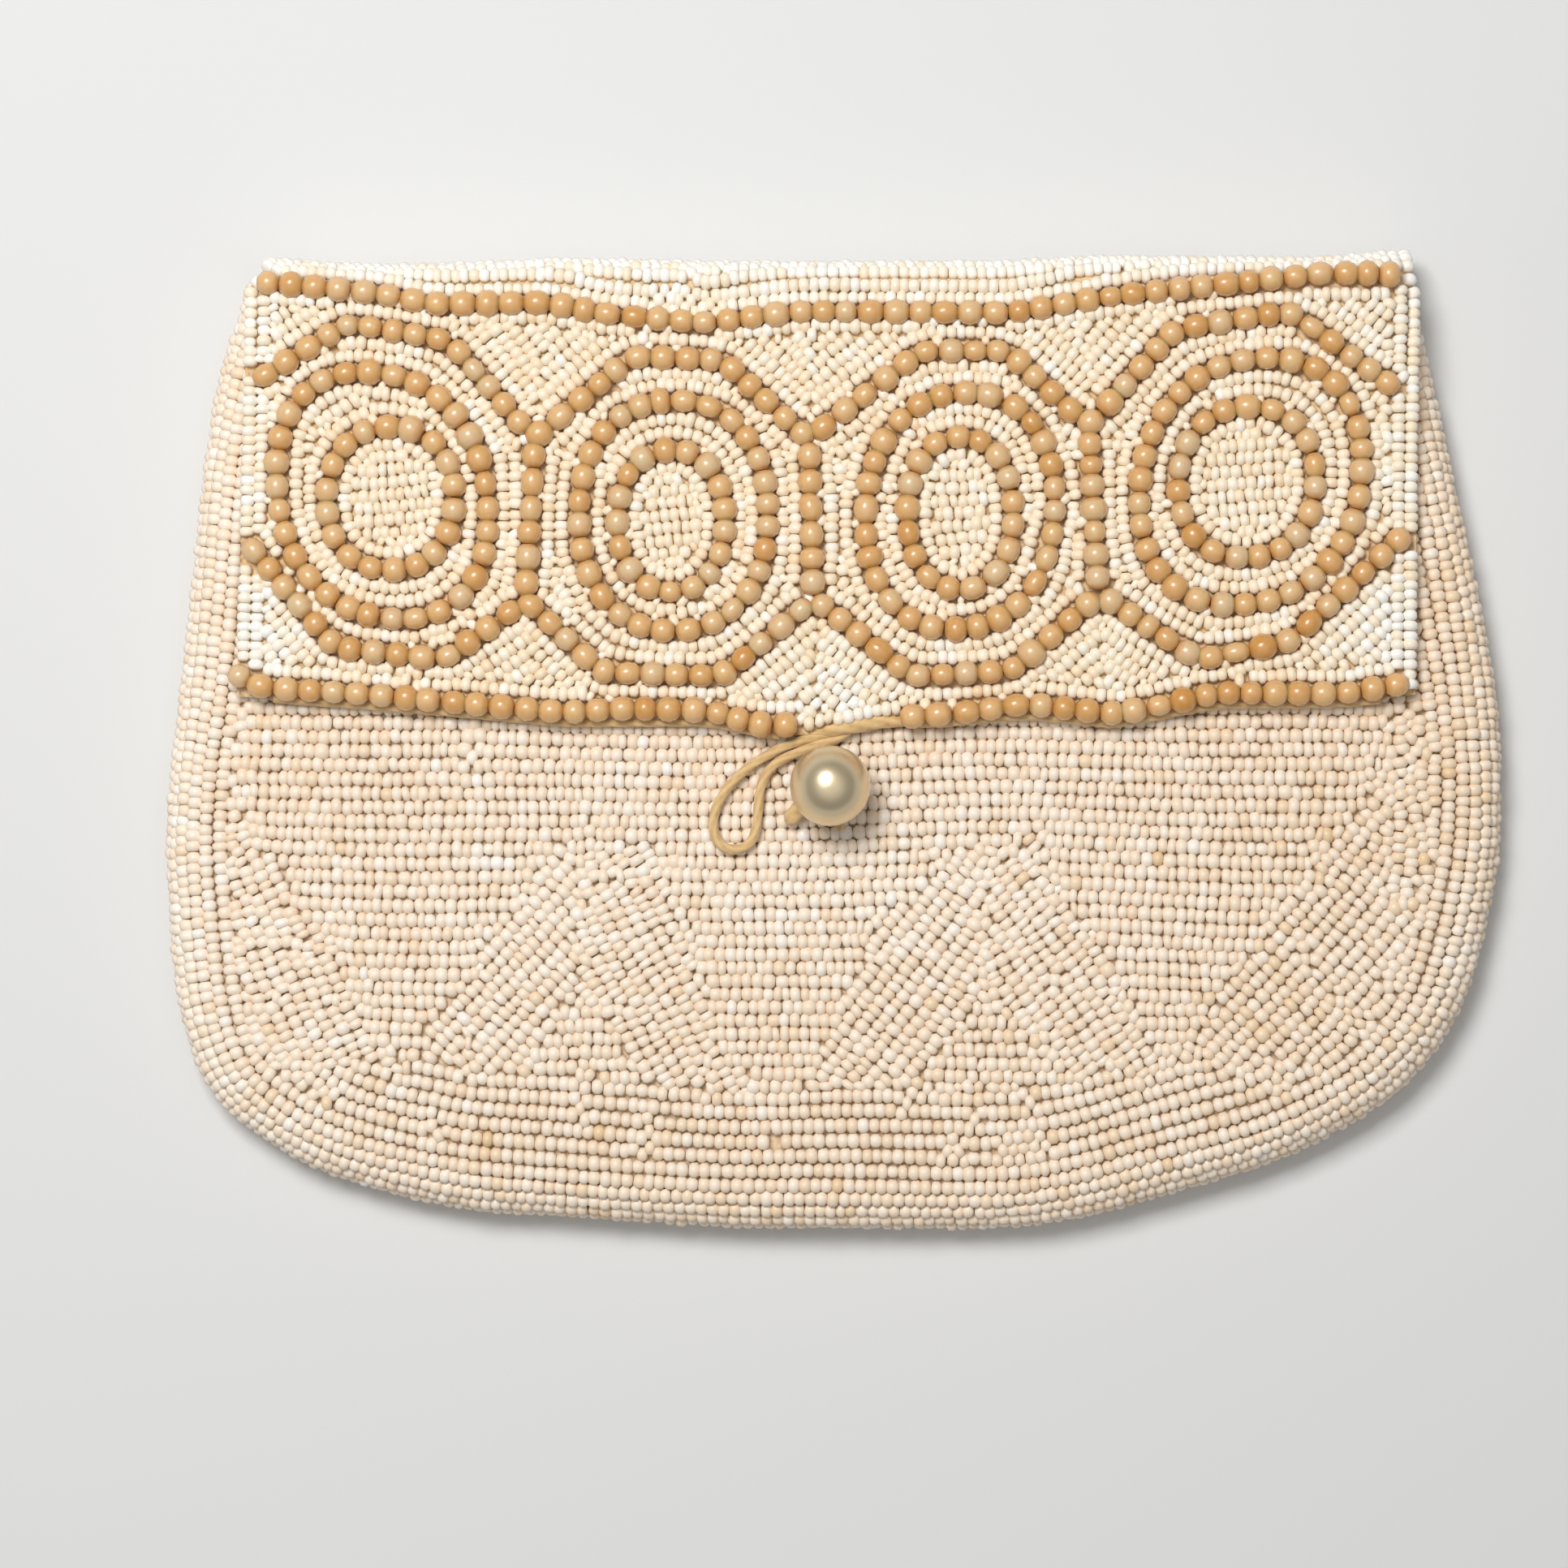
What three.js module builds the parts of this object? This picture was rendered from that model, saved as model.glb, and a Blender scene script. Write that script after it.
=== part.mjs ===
// A beaded evening clutch, closed and lying on its back. Two beaded panels make a soft pouch that is open
// along the top, and a flap folds over the mouth and lies on the front. Strings of amber beads are sewn on
// the flap in four oval motifs, and a cord loop on its free edge goes over a pearl button.
// Millimetres. +X runs across the front to the right, +Y runs up to the fold and +Z is up from the table.
// The origin is under the middle of the clutch, on the face that it rests on.

import * as THREE from "three";

// Driving dimensions
const PANEL_WALL = 2.6; // cloth with the seed beads sewn on it
const FLAP_WALL = 1.6; // thinner cloth with smaller seed beads
const GAP = 0.3; // between pieces that touch
const FLAP_GAP = 0.5; // between the flap and the front panel under it
const SEAM_HEIGHT = 4.2; // where the two panels meet, all round the edge
const FRONT_EDGE = { wide: 6, high: 5.6 }; // the rounded edge of the front panel
const BACK_EDGE = { wide: 5, high: SEAM_HEIGHT - GAP / 2 }; // the rounded edge of the back panel
const SWELL = { wide: 45, high: 3.5 }; // how the front swells in from its edge
const SWELL_FALL = { from: 10, to: 62, left: 0.2 }; // the swelling dies away up towards the mouth
const MOUTH_UP = 59; // the upper edge of both panels
const FOLD = { start: MOUTH_UP + GAP, deep: 3.2, low: 0.8, corner: 1.5 }; // the flap's fold over the mouth
const FLAP_TOP = { left: 73.6, right: 73.6 }; // the flap's half widths at the fold
const STRING_DIAMETER = 2.4; // a string of amber beads, between its beads' full size and its thread
const STRING_GAP = 0.4;
const STRING_STEP = 4; // between the points of a string's tube
const RING_POWER = 2.2; // a ring is an oval that is a little squared: 2 is a plain oval
const RING_PLACES = 48;
const PEARL = { across: -0.6, up: -4.9, diameter: 10.2, sides: 20, bands: 12 };
const CORD_DIAMETER = 1.2;
const EDGE_CORD_STEP = 3 * CORD_DIAMETER; // between the points of a cord that lies straight
const LOOSE_CORD_STEP = 1.25 * CORD_DIAMETER; // between the points of a cord that bends
const EDGE_CORDS = { left: { from: -72, to: -7 }, right: { from: 1.8, to: 70 } }; // their ends across
const TINY = 1e-6;

// Sections across both panels, from the bottom up: height, and reach to the left and to the right
const OUTLINE = [
  { up: -62.5, left: 12, right: 22 },
  { up: -62, left: 19, right: 27 },
  { up: -61, left: 34.5, right: 33 },
  { up: -60.3, left: 47, right: 36 },
  { up: -58.9, left: 54, right: 40.5 },
  { up: -56.6, left: 62.5, right: 48.7 },
  { up: -53.9, left: 69.5, right: 57.5 },
  { up: -50.3, left: 75, right: 65 },
  { up: -46.9, left: 79.3, right: 70.8 },
  { up: -43.4, left: 82, right: 75 },
  { up: -36.8, left: 84.5, right: 80.4 },
  { up: -29.9, left: 85.8, right: 83.3 },
  { up: -20.2, left: 86.5, right: 85.6 },
  { up: -12.4, left: 86.9, right: 86.7 },
  { up: -1.6, left: 86.2, right: 86.9 },
  { up: 9, left: 84.8, right: 86 },
  { up: 22.7, left: 83.3, right: 83.4 },
  { up: 36.3, left: 81.9, right: 80.3 },
  { up: 47.9, left: 79.9, right: 77.9 },
  { up: MOUTH_UP, left: 76.4, right: 75.2 },
];

// The flap's free edge, which sags to a tip in the middle; each row is a section down the flap
const HEM = [
  { across: -76.8, up: 6.6 },
  { across: -75.4, up: 6.5 },
  { across: -73.4, up: 6.4 },
  { across: -69, up: 6 },
  { across: -60, up: 5.4 },
  { across: -45, up: 4.1 },
  { across: -34, up: 3.1 },
  { across: -16, up: 3.2 },
  { across: -8, up: 1.5 },
  { across: 0, up: 1.3 },
  { across: 10, up: 2.6 },
  { across: 24.5, up: 4.1 },
  { across: 36, up: 2.9 },
  { across: 49, up: 5.5 },
  { across: 60, up: 5.5 },
  { across: 68, up: 5.8 },
  { across: 71.6, up: 6.4 },
  { across: 73.4, up: 6.7 },
  { across: 74.6, up: 6.8 },
];

// Routes of the straight strings of amber beads, by their corners
const ROUTES = {
  border_top: [
    { across: -72.5, up: 59.8 },
    { across: -58.5, up: 58.3 },
    { across: -51.2, up: 56.9 },
    { across: -37.1, up: 57.1 },
    { across: -28.9, up: 55.6 },
    { across: -16.7, up: 54.5 },
    { across: -4.1, up: 56 },
    { across: 22.5, up: 55.8 },
    { across: 36, up: 58 },
    { across: 48.1, up: 59.3 },
    { across: 63.6, up: 61.3 },
    { across: 71.2, up: 61.3 },
  ],
  border_bottom_left: [
    { across: -73.2, up: 7.7 },
    { across: -59.4, up: 6.8 },
    { across: -45.6, up: 5.5 },
    { across: -34.4, up: 4.5 },
    { across: -27.2, up: 5 },
    { across: -16.3, up: 4.8 },
    { across: -9.8, up: 2.9 },
    { across: -6.5, up: 2.9 },
  ],
  border_bottom_right: [
    { across: 10.1, up: 4 },
    { across: 16.7, up: 4.5 },
    { across: 24.5, up: 5.6 },
    { across: 36, up: 4.3 },
    { across: 42.6, up: 5.6 },
    { across: 48.8, up: 7 },
    { across: 64.9, up: 6.9 },
    { across: 71.7, up: 8 },
  ],
  lattice_upper: [
    { across: -73.2, up: 47.7 },
    { across: -62.4, up: 54.5 },
    { across: -49.4, up: 52.2 },
    { across: -38.5, up: 39.5 },
    { across: -25.9, up: 50.2 },
    { across: -14.4, up: 49.7 },
    { across: -3.4, up: 39.5 },
    { across: 11.2, up: 50.9 },
    { across: 22.2, up: 50.9 },
    { across: 32.5, up: 41.1 },
    { across: 43.7, up: 53.7 },
    { across: 58.5, up: 56 },
    { across: 71.1, up: 46.7 },
  ],
  lattice_lower: [
    { across: -74.4, up: 25.4 },
    { across: -63.8, up: 12.8 },
    { across: -49.9, up: 11.2 },
    { across: -39.4, up: 18.8 },
    { across: -29.8, up: 9.6 },
    { across: -14.4, up: 9.1 },
    { across: -2.6, up: 19 },
    { across: 9.8, up: 9.1 },
    { across: 22.6, up: 9.8 },
    { across: 33.9, up: 19.6 },
    { across: 46.5, up: 11.2 },
    { across: 58.1, up: 13.5 },
    { across: 72.1, up: 26.5 },
  ],
  upright_1: [
    { across: -38.5, up: 37.4 },
    { across: -39.4, up: 20.9 },
  ],
  upright_2: [
    { across: -3.2, up: 37.4 },
    { across: -2.8, up: 21.1 },
  ],
  upright_3: [
    { across: 32.7, up: 39 },
    { across: 33.6, up: 21.7 },
  ],
};

// The four motifs: their two rings of amber beads, by centre, half sizes and the degrees that an oval leans by
const MOTIFS = [
  {
    middle: { across: -57.9, up: 32.3, wide: 13.6, high: 15.9, lean: -10 },
    inner: { across: -56.8, up: 31.9, wide: 8.2, high: 9.2, lean: 0 },
  },
  {
    middle: { across: -20.6, up: 29.7, wide: 12.1, high: 14.8, lean: 0 },
    inner: { across: -20.9, up: 29, wide: 6.9, high: 9.1, lean: 0 },
  },
  {
    middle: { across: 16.1, up: 30.3, wide: 12.1, high: 15.2, lean: 4 },
    inner: { across: 16.1, up: 30, wide: 6.8, high: 9.8, lean: 0 },
  },
  {
    middle: { across: 53.3, up: 34.1, wide: 14.3, high: 15.9, lean: 9 },
    inner: { across: 52.8, up: 34, wide: 8.8, high: 9.7, lean: 3 },
  },
];

// The cord loop, from its root at the flap's tip round the open loop and back to the tip
const LOOP = [
  { across: 0.6, up: 0.2 },
  { across: -2.6, up: 0.1 },
  { across: -5.7, up: -0.5 },
  { across: -9, up: -1.8 },
  { across: -11.7, up: -3.4 },
  { across: -14.1, up: -5.6 },
  { across: -15.4, up: -8 },
  { across: -15.7, up: -10.4 },
  { across: -14.9, up: -12.5 },
  { across: -13.2, up: -13.3 },
  { across: -11.3, up: -12.9 },
  { across: -10.2, up: -11.2 },
  { across: -9.8, up: -8.2 },
  { across: -9.5, up: -5.9 },
  { across: -8.6, up: -4.2 },
  { across: -7, up: -2.9 },
  { across: -4.9, up: -2 },
  { across: -2.5, up: -1.5 },
];

// The cord under the pearl, whose two ends show beside it
const SHANK = [
  { across: -6.2, up: -10.1 },
  { across: -5, up: -8.2 },
  { across: -2.8, up: -6.3 },
  { across: -0.7, up: -5.6 },
  { across: 0.5, up: -7.2 },
  { across: 0.6, up: -10.5 },
];

// Materials
const ivoryBeads = new THREE.MeshStandardMaterial({ color: 0xefe1cd, roughness: 0.4, metalness: 0 });
const amberBeads = new THREE.MeshStandardMaterial({ color: 0xcda064, roughness: 0.3, metalness: 0 });
const pearl = new THREE.MeshStandardMaterial({ color: 0xe0d2b4, roughness: 0.2, metalness: 0.2 });
const tanCord = new THREE.MeshStandardMaterial({ color: 0xcba35a, roughness: 0.8, metalness: 0 });

// The seam's line in plan: down the left side, along the bottom and up the right side
const seamLine = [
  ...OUTLINE.map((row) => new THREE.Vector2(-row.left, row.up)).reverse(),
  ...OUTLINE.map((row) => new THREE.Vector2(row.right, row.up)),
];

// How far a place lies in from the seam, and the direction straight in from it
function nearestSeam(across, up) {
  let distance = Infinity;
  let inward = new THREE.Vector2();
  for (let i = 1; i < seamLine.length; i++) {
    const run = seamLine[i].clone().sub(seamLine[i - 1]);
    const away = new THREE.Vector2(across, up).sub(seamLine[i - 1]);
    away.addScaledVector(run, -THREE.MathUtils.clamp(away.dot(run) / run.lengthSq(), 0, 1));
    const square = new THREE.Vector2(-run.y, run.x).normalize();
    const length = away.length();
    if (length < distance - TINY) {
      distance = length;
      inward = length > TINY ? away.normalize() : square;
    } else if (length < TINY) {
      inward.add(square).normalize();
    }
  }
  return { distance, inward };
}

// Height and slope of a rounded edge, a quarter of an ellipse, at a distance in from the seam
function roundedEdge(edge, distance) {
  const rest = 1 - Math.min(distance / edge.wide, 1);
  const share = Math.sqrt(1 - rest ** 2);
  return { height: edge.high * share, slope: ((edge.high / edge.wide) * rest) / Math.max(share, TINY) };
}

// The front panel's outer face: the rounded edge and the swelling, which dies away towards the mouth
function frontFace(across, up) {
  const { distance, inward } = nearestSeam(across, up);
  const edge = roundedEdge(FRONT_EDGE, distance);
  const rest = 1 - Math.min(distance / SWELL.wide, 1);
  const fall = THREE.MathUtils.smoothstep(up, SWELL_FALL.from, SWELL_FALL.to) * (1 - SWELL_FALL.left);
  const high = SWELL.high * (1 - fall);
  return {
    inward,
    height: SEAM_HEIGHT + GAP / 2 + edge.height + high * (1 - rest ** 2),
    slope: edge.slope + (2 * high * rest) / SWELL.wide,
  };
}

// The back panel's outer face: flat where it rests, and rounded up to the seam
function backFace(across, up) {
  const { distance, inward } = nearestSeam(across, up);
  const edge = roundedEdge(BACK_EDGE, distance);
  return { inward, height: BACK_EDGE.high - edge.height, slope: edge.slope };
}

// The two faces of a panel's wall at one place; side is 1 for the front and -1 for the back
function wallPoints(face, side, across, up) {
  const { inward, height, slope } = face(across, up);
  const lean = Math.hypot(1, slope);
  const shift = (PANEL_WALL * slope) / lean;
  const outer = new THREE.Vector3(across, up, height);
  const drop = (side * PANEL_WALL) / lean;
  const inner = new THREE.Vector3(across + inward.x * shift, up + inward.y * shift, height - drop);
  return { outer, inner };
}

// One closed sheet from two grids of points, rows going up and columns going across
function closedSheet(upper, lower) {
  const rows = upper.length;
  const columns = upper[0].length;
  const place = (row, column) => row * columns + column;
  const below = (row, column) => rows * columns + place(row, column);
  const index = [];
  const quad = (a, b, c, d) => index.push(a, b, c, a, c, d);
  for (let r = 0; r + 1 < rows; r++) {
    for (let c = 0; c + 1 < columns; c++) {
      quad(place(r, c), place(r, c + 1), place(r + 1, c + 1), place(r + 1, c));
      quad(below(r, c), below(r + 1, c), below(r + 1, c + 1), below(r, c + 1));
    }
    const last = columns - 1;
    quad(below(r, 0), place(r, 0), place(r + 1, 0), below(r + 1, 0));
    quad(place(r, last), below(r, last), below(r + 1, last), place(r + 1, last));
  }
  for (let c = 0; c + 1 < columns; c++) {
    const last = rows - 1;
    quad(below(0, c), below(0, c + 1), place(0, c + 1), place(0, c));
    quad(place(last, c), place(last, c + 1), below(last, c + 1), below(last, c));
  }
  const geometry = new THREE.BufferGeometry().setFromPoints([...upper.flat(), ...lower.flat()]);
  geometry.setIndex(index);
  geometry.computeVertexNormals();
  return geometry;
}

// Places across a section, closer together near both sides; steps are distances in from a side
function placesAcross(left, right, steps) {
  const inFrom = (half) => steps.map((step, k) => Math.min(step, (half * k) / steps.length));
  return [...inFrom(left).map((x) => x - left), 0, ...inFrom(right).map((x) => right - x).reverse()];
}

// A panel's wall, by the sections of the outline
function panelGeometry(face, side) {
  const steps = [0, 0.5, 1.5, 3, 5.5, 9, 15, 25, 40, 60];
  const outer = [];
  const inner = [];
  for (const row of OUTLINE) {
    const walls = placesAcross(row.left, row.right, steps).map((x) => wallPoints(face, side, x, row.up));
    outer.push(walls.map((wall) => wall.outer));
    inner.push(walls.map((wall) => wall.inner));
  }
  return side > 0 ? closedSheet(outer, inner) : closedSheet(inner, outer);
}

// The height of the flap's free edge at a place across
function hemUp(across) {
  const i = HEM.findIndex((row) => row.across >= across);
  const [a, b] = [HEM[i - 1], HEM[i]];
  return THREE.MathUtils.mapLinear(across, a.across, b.across, a.up, b.up);
}

// The flap's lower face where it lies on the front panel
function flapUnder(across, up) {
  return frontFace(across, up).height + FLAP_GAP;
}

// The flap's outer face seen from above, which turns down over the fold
function flapFace(across, up) {
  const top = flapUnder(across, Math.min(up, FOLD.start)) + FLAP_WALL;
  if (up <= FOLD.start) return top;
  const half = (top - FOLD.low) / 2;
  const share = Math.min((up - FOLD.start) / FOLD.deep, 1);
  return FOLD.low + half + half * Math.sqrt(1 - share ** 2);
}

// Places across the flap at a share of the way up from its free edge to the fold, and less an inset
function placesAcrossFlap(rise, inset) {
  const foot = { left: -HEM[0].across, right: HEM.at(-1).across };
  return HEM.map((row) => {
    const side = row.across < 0 ? "left" : "right";
    const half = THREE.MathUtils.lerp(foot[side], FLAP_TOP[side] - inset, rise);
    return (row.across * half) / foot[side];
  });
}

// The flap: rows up from the free edge to the fold, then round the fold to the top of the back panel
function flapGeometry() {
  const rises = [0, 0.08, 0.2, 0.33, 0.46, 0.59, 0.72, 0.84, 0.93, 1];
  const outer = [];
  const inner = [];
  for (const rise of rises) {
    const places = placesAcrossFlap(rise, 0).map((x, i) => {
      return [x, THREE.MathUtils.lerp(HEM[i].up, FOLD.start, rise)];
    });
    inner.push(places.map(([x, y]) => new THREE.Vector3(x, y, flapUnder(x, y))));
    outer.push(places.map(([x, y]) => new THREE.Vector3(x, y, flapUnder(x, y) + FLAP_WALL)));
  }
  const turns = [60, 35, 10, -20, -55, -90].map(THREE.MathUtils.degToRad);
  for (const turn of turns) {
    const places = placesAcrossFlap(1, FOLD.corner * Math.cos(turn));
    const arc = (deep, low, high) => (x) => {
      const half = (high(x) - low) / 2;
      const up = FOLD.start + deep * Math.cos(turn);
      return new THREE.Vector3(x, up, low + half + half * Math.sin(turn));
    };
    const under = (x) => flapUnder(x, FOLD.start);
    outer.push(places.map(arc(FOLD.deep, FOLD.low, (x) => under(x) + FLAP_WALL)));
    inner.push(places.map(arc(FOLD.deep - FLAP_WALL, FOLD.low + FLAP_WALL, under)));
  }
  return closedSheet(outer, inner);
}

// A point held off a face so that it stands over a place in plan
function heldOff(face, across, up, lift) {
  const reach = 0.05;
  const foot = new THREE.Vector2(across, up);
  let point;
  for (let i = 0; i < 12; i++) {
    const normal = new THREE.Vector3(
      face(foot.x - reach, foot.y) - face(foot.x + reach, foot.y),
      face(foot.x, foot.y - reach) - face(foot.x, foot.y + reach),
      2 * reach,
    ).normalize();
    point = new THREE.Vector3(foot.x, foot.y, face(foot.x, foot.y)).addScaledVector(normal, lift);
    foot.x += (across - point.x) / 2;
    foot.y += (up - point.y) / 2;
  }
  return point;
}

// Places at even steps along a line of corners in plan
function evenPlaces(corners, step) {
  const run = new THREE.CurvePath();
  for (let i = 1; i < corners.length; i++) run.add(new THREE.LineCurve(corners[i - 1], corners[i]));
  const count = Math.max(2, Math.round(run.getLength() / step));
  return Array.from({ length: count + 1 }, (_, i) => run.getPoint(i / count));
}

// A round cord through points in space
function cordGeometry(points, diameter) {
  const sides = 8;
  const corners = Array.from({ length: sides }, (_, i) => {
    const turn = (2 * Math.PI * i) / sides;
    return new THREE.Vector2(Math.cos(turn), Math.sin(turn)).multiplyScalar(diameter / 2);
  });
  const extrudePath = new THREE.CatmullRomCurve3(points, false, "centripetal");
  const steps = points.length - 1;
  return new THREE.ExtrudeGeometry(new THREE.Shape(corners), { steps, bevelEnabled: false, extrudePath });
}

const inPlan = (rows) => rows.map((row) => new THREE.Vector2(row.across, row.up));

// A string of amber beads along corners in plan, lying on the flap
function stringGeometry(corners) {
  const lift = STRING_GAP + STRING_DIAMETER / 2;
  const places = evenPlaces(corners, STRING_STEP);
  const points = places.map((place) => heldOff(flapFace, place.x, place.y, lift));
  return cordGeometry(points, STRING_DIAMETER);
}

// Places round a ring, whose string starts and ends in the middle of its right side and just fails to meet
function ringPlaces(ring) {
  const squared = (share) => Math.sign(share) * Math.abs(share) ** (2 / RING_POWER);
  const spare = STRING_GAP / 2 / ring.high;
  const lean = THREE.MathUtils.degToRad(ring.lean);
  return Array.from({ length: RING_PLACES + 1 }, (_, i) => {
    const turn = THREE.MathUtils.lerp(spare, 2 * Math.PI - spare, i / RING_PLACES);
    const x = ring.across + ring.wide * squared(Math.cos(turn));
    return new THREE.Vector2(x, ring.up + ring.high * squared(Math.sin(turn + lean)));
  });
}

// A cord along places in plan, lying on the front panel's beads
function cordOnFront(places) {
  const lift = GAP + CORD_DIAMETER / 2;
  const face = (x, y) => frontFace(x, y).height;
  const points = places.map((place) => heldOff(face, place.x, place.y, lift));
  return cordGeometry(points, CORD_DIAMETER);
}

// The cord along the flap's free edge, between two places across
function edgeCordGeometry({ from, to }) {
  const clear = GAP + CORD_DIAMETER / 2;
  const between = HEM.filter((row) => row.across > from && row.across < to);
  const corners = [from, ...between.map((row) => row.across), to].map((across) => {
    return new THREE.Vector2(across, hemUp(across) - clear);
  });
  return cordOnFront(evenPlaces(corners, EDGE_CORD_STEP));
}

// The clutch
const clutch = new THREE.Group();
clutch.name = "beaded_clutch";

function addPiece(name, geometry, material) {
  const mesh = new THREE.Mesh(geometry, material);
  mesh.name = name;
  clutch.add(mesh);
  return mesh;
}

addPiece("front_panel", panelGeometry(frontFace, 1), ivoryBeads);
addPiece("back_panel", panelGeometry(backFace, -1), ivoryBeads);
addPiece("flap", flapGeometry(), ivoryBeads);

for (const [name, rows] of Object.entries(ROUTES)) {
  addPiece(name, stringGeometry(inPlan(rows)), amberBeads);
}
MOTIFS.forEach((motif, i) => {
  for (const [kind, ring] of Object.entries(motif)) {
    addPiece(`${kind}_ring_${i + 1}`, stringGeometry(ringPlaces(ring)), amberBeads);
  }
});

addPiece("edge_cord_left", edgeCordGeometry(EDGE_CORDS.left), tanCord);
addPiece("edge_cord_right", edgeCordGeometry(EDGE_CORDS.right), tanCord);
addPiece("loop_cord", cordOnFront(evenPlaces(inPlan(LOOP), LOOSE_CORD_STEP)), tanCord);
addPiece("button_shank", cordOnFront(evenPlaces(inPlan(SHANK), LOOSE_CORD_STEP)), tanCord);

const pearlBall = new THREE.SphereGeometry(PEARL.diameter / 2, PEARL.sides, PEARL.bands);
const ball = addPiece("pearl_button", pearlBall, pearl);
const shankTop = frontFace(PEARL.across, PEARL.up).height + GAP + CORD_DIAMETER;
ball.position.set(PEARL.across, PEARL.up, shankTop + GAP + PEARL.diameter / 2);

export default clutch;
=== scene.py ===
"""A beaded evening clutch lying on its back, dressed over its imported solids.

Lengths are in millimetres until a mesh is made. A plan place is (across, up) as seen from above. Seed beads
are laid out as rows of plan places, set on the cloth along its normals and joined into a few meshes.
"""

import bpy
import numpy as np
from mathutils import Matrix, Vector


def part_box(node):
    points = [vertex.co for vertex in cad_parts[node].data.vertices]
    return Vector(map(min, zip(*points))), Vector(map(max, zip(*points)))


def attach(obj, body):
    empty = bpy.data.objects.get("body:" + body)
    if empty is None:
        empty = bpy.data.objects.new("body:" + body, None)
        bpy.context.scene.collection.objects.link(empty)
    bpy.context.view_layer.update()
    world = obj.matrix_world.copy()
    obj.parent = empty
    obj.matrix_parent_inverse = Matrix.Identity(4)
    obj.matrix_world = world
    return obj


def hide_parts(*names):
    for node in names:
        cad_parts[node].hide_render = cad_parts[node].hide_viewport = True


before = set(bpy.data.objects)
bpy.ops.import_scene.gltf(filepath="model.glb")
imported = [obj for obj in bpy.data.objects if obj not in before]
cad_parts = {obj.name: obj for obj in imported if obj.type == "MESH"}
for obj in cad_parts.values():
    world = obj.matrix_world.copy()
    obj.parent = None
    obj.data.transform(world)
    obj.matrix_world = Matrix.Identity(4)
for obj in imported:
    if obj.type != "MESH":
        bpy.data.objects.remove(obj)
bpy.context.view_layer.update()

MM = 0.001
chance = np.random.default_rng(1931)

# Sizes of the pouch, as in the part's source
GAP = 0.3
SEAM_HEIGHT = 4.2
FRONT_EDGE = {"wide": 6.0, "high": 5.6}
BACK_EDGE = {"wide": 5.0, "high": SEAM_HEIGHT - GAP / 2}
SWELL = {"wide": 45.0, "high": 3.5}
SWELL_FALL = {"start": 10.0, "end": 62.0, "left": 0.2}
MOUTH_UP = 60.6  # the cloth's edge at the mouth, a little up into the fold
FLAP_GAP = 0.5
FOLD = {"start": 59.3, "low": 1.9, "tuck": 2.5}  # tuck: how far the flap goes on along the back
FLAP_TOP = {"left": 75.6, "right": 75.2}
FOLD_CORNER = {"left": 2.2, "right": 0.4}
PEARL_DIAMETER = 10.2
CORD_DIAMETER = 1.3
CORD_STRANDS = 4
CORD_LAY = 14.0  # the length in which a strand goes once round the cord

# Sizes of the beads: pitch along a row, their breadth across it, and how far apart rows lie
BODY_SEED = {"pitch": 1.37, "across": 2.05, "row": 1.76}
EDGE_SEED = {"pitch": 1.4, "across": 2.02, "row": 1.96}
BACK_SEED = {"pitch": 1.5, "across": 2.14, "row": 1.92}
FLAP_SEED = {"pitch": 1.26, "across": 1.94, "row": 1.64}
AMBER = {"pitch": 3.1, "across": 3.14, "row": 3.14}
SEED_SINK = 0.96  # centre of a body seed under the pouch's face
CLOTH_TOP = 1.6  # the body's cloth under the pouch's face
CLOTH_WALL = 0.6
FLAP_CLOTH = 0.9  # the flap's cloth, over the gap that it keeps to the front
SEED_LIFT = 0.62  # centre of a flap seed over the flap's cloth
AMBER_LIFT = 1.45  # centre of an amber bead over the flap's cloth
TIGHT = 0.86  # how near settled beads stand, where 1 is just touching

# Sections across the pouch: height, and reach to the left and to the right
OUTLINE = np.array([
    (-62.5, 12, 22), (-62, 19, 27), (-61, 34.5, 33), (-60.3, 47, 36), (-58.9, 54, 40.5),
    (-56.6, 62.5, 48.7), (-53.9, 69.5, 57.5), (-50.3, 75, 65), (-46.9, 79.3, 70.8), (-43.4, 82, 75),
    (-36.8, 84.5, 80.4), (-29.9, 85.8, 83.3), (-20.2, 86.5, 85.6), (-12.4, 86.9, 86.7), (-1.6, 86.2, 86.9),
    (9, 84.8, 86), (22.7, 83.3, 83.4), (36.3, 82, 80.3), (47.9, 80.1, 77.9), (MOUTH_UP, 76.1, 74.8),
])

# The flap's free edge: across, up
HEM = np.array([
    (-76.8, 6.6), (-75.4, 6.5), (-73.4, 6.4), (-69, 6), (-60, 5.4), (-45, 4.1), (-34, 3.1), (-16, 3.2),
    (-8, 1.5), (-4.5, 1.5), (-2, 1.9), (0, 2.2), (5, 3.2), (8.5, 3.4), (12, 2.9), (24.5, 4.1), (36, 2.9),
    (49, 5.5), (60, 5.5), (68, 5.8), (71.6, 6.4), (73.4, 6.7), (74.6, 6.8),
])

# The fold's top edge: across, up
FOLD_EDGE = np.array([
    (-73, 63.7), (-66, 63.0), (-58, 62.7), (-47, 63.0), (-35, 63.6), (-18, 63.1), (24, 63.2), (34, 63.9),
    (60, 63.7), (66, 64.0), (71, 64.6), (74, 64.8),
])

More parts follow.
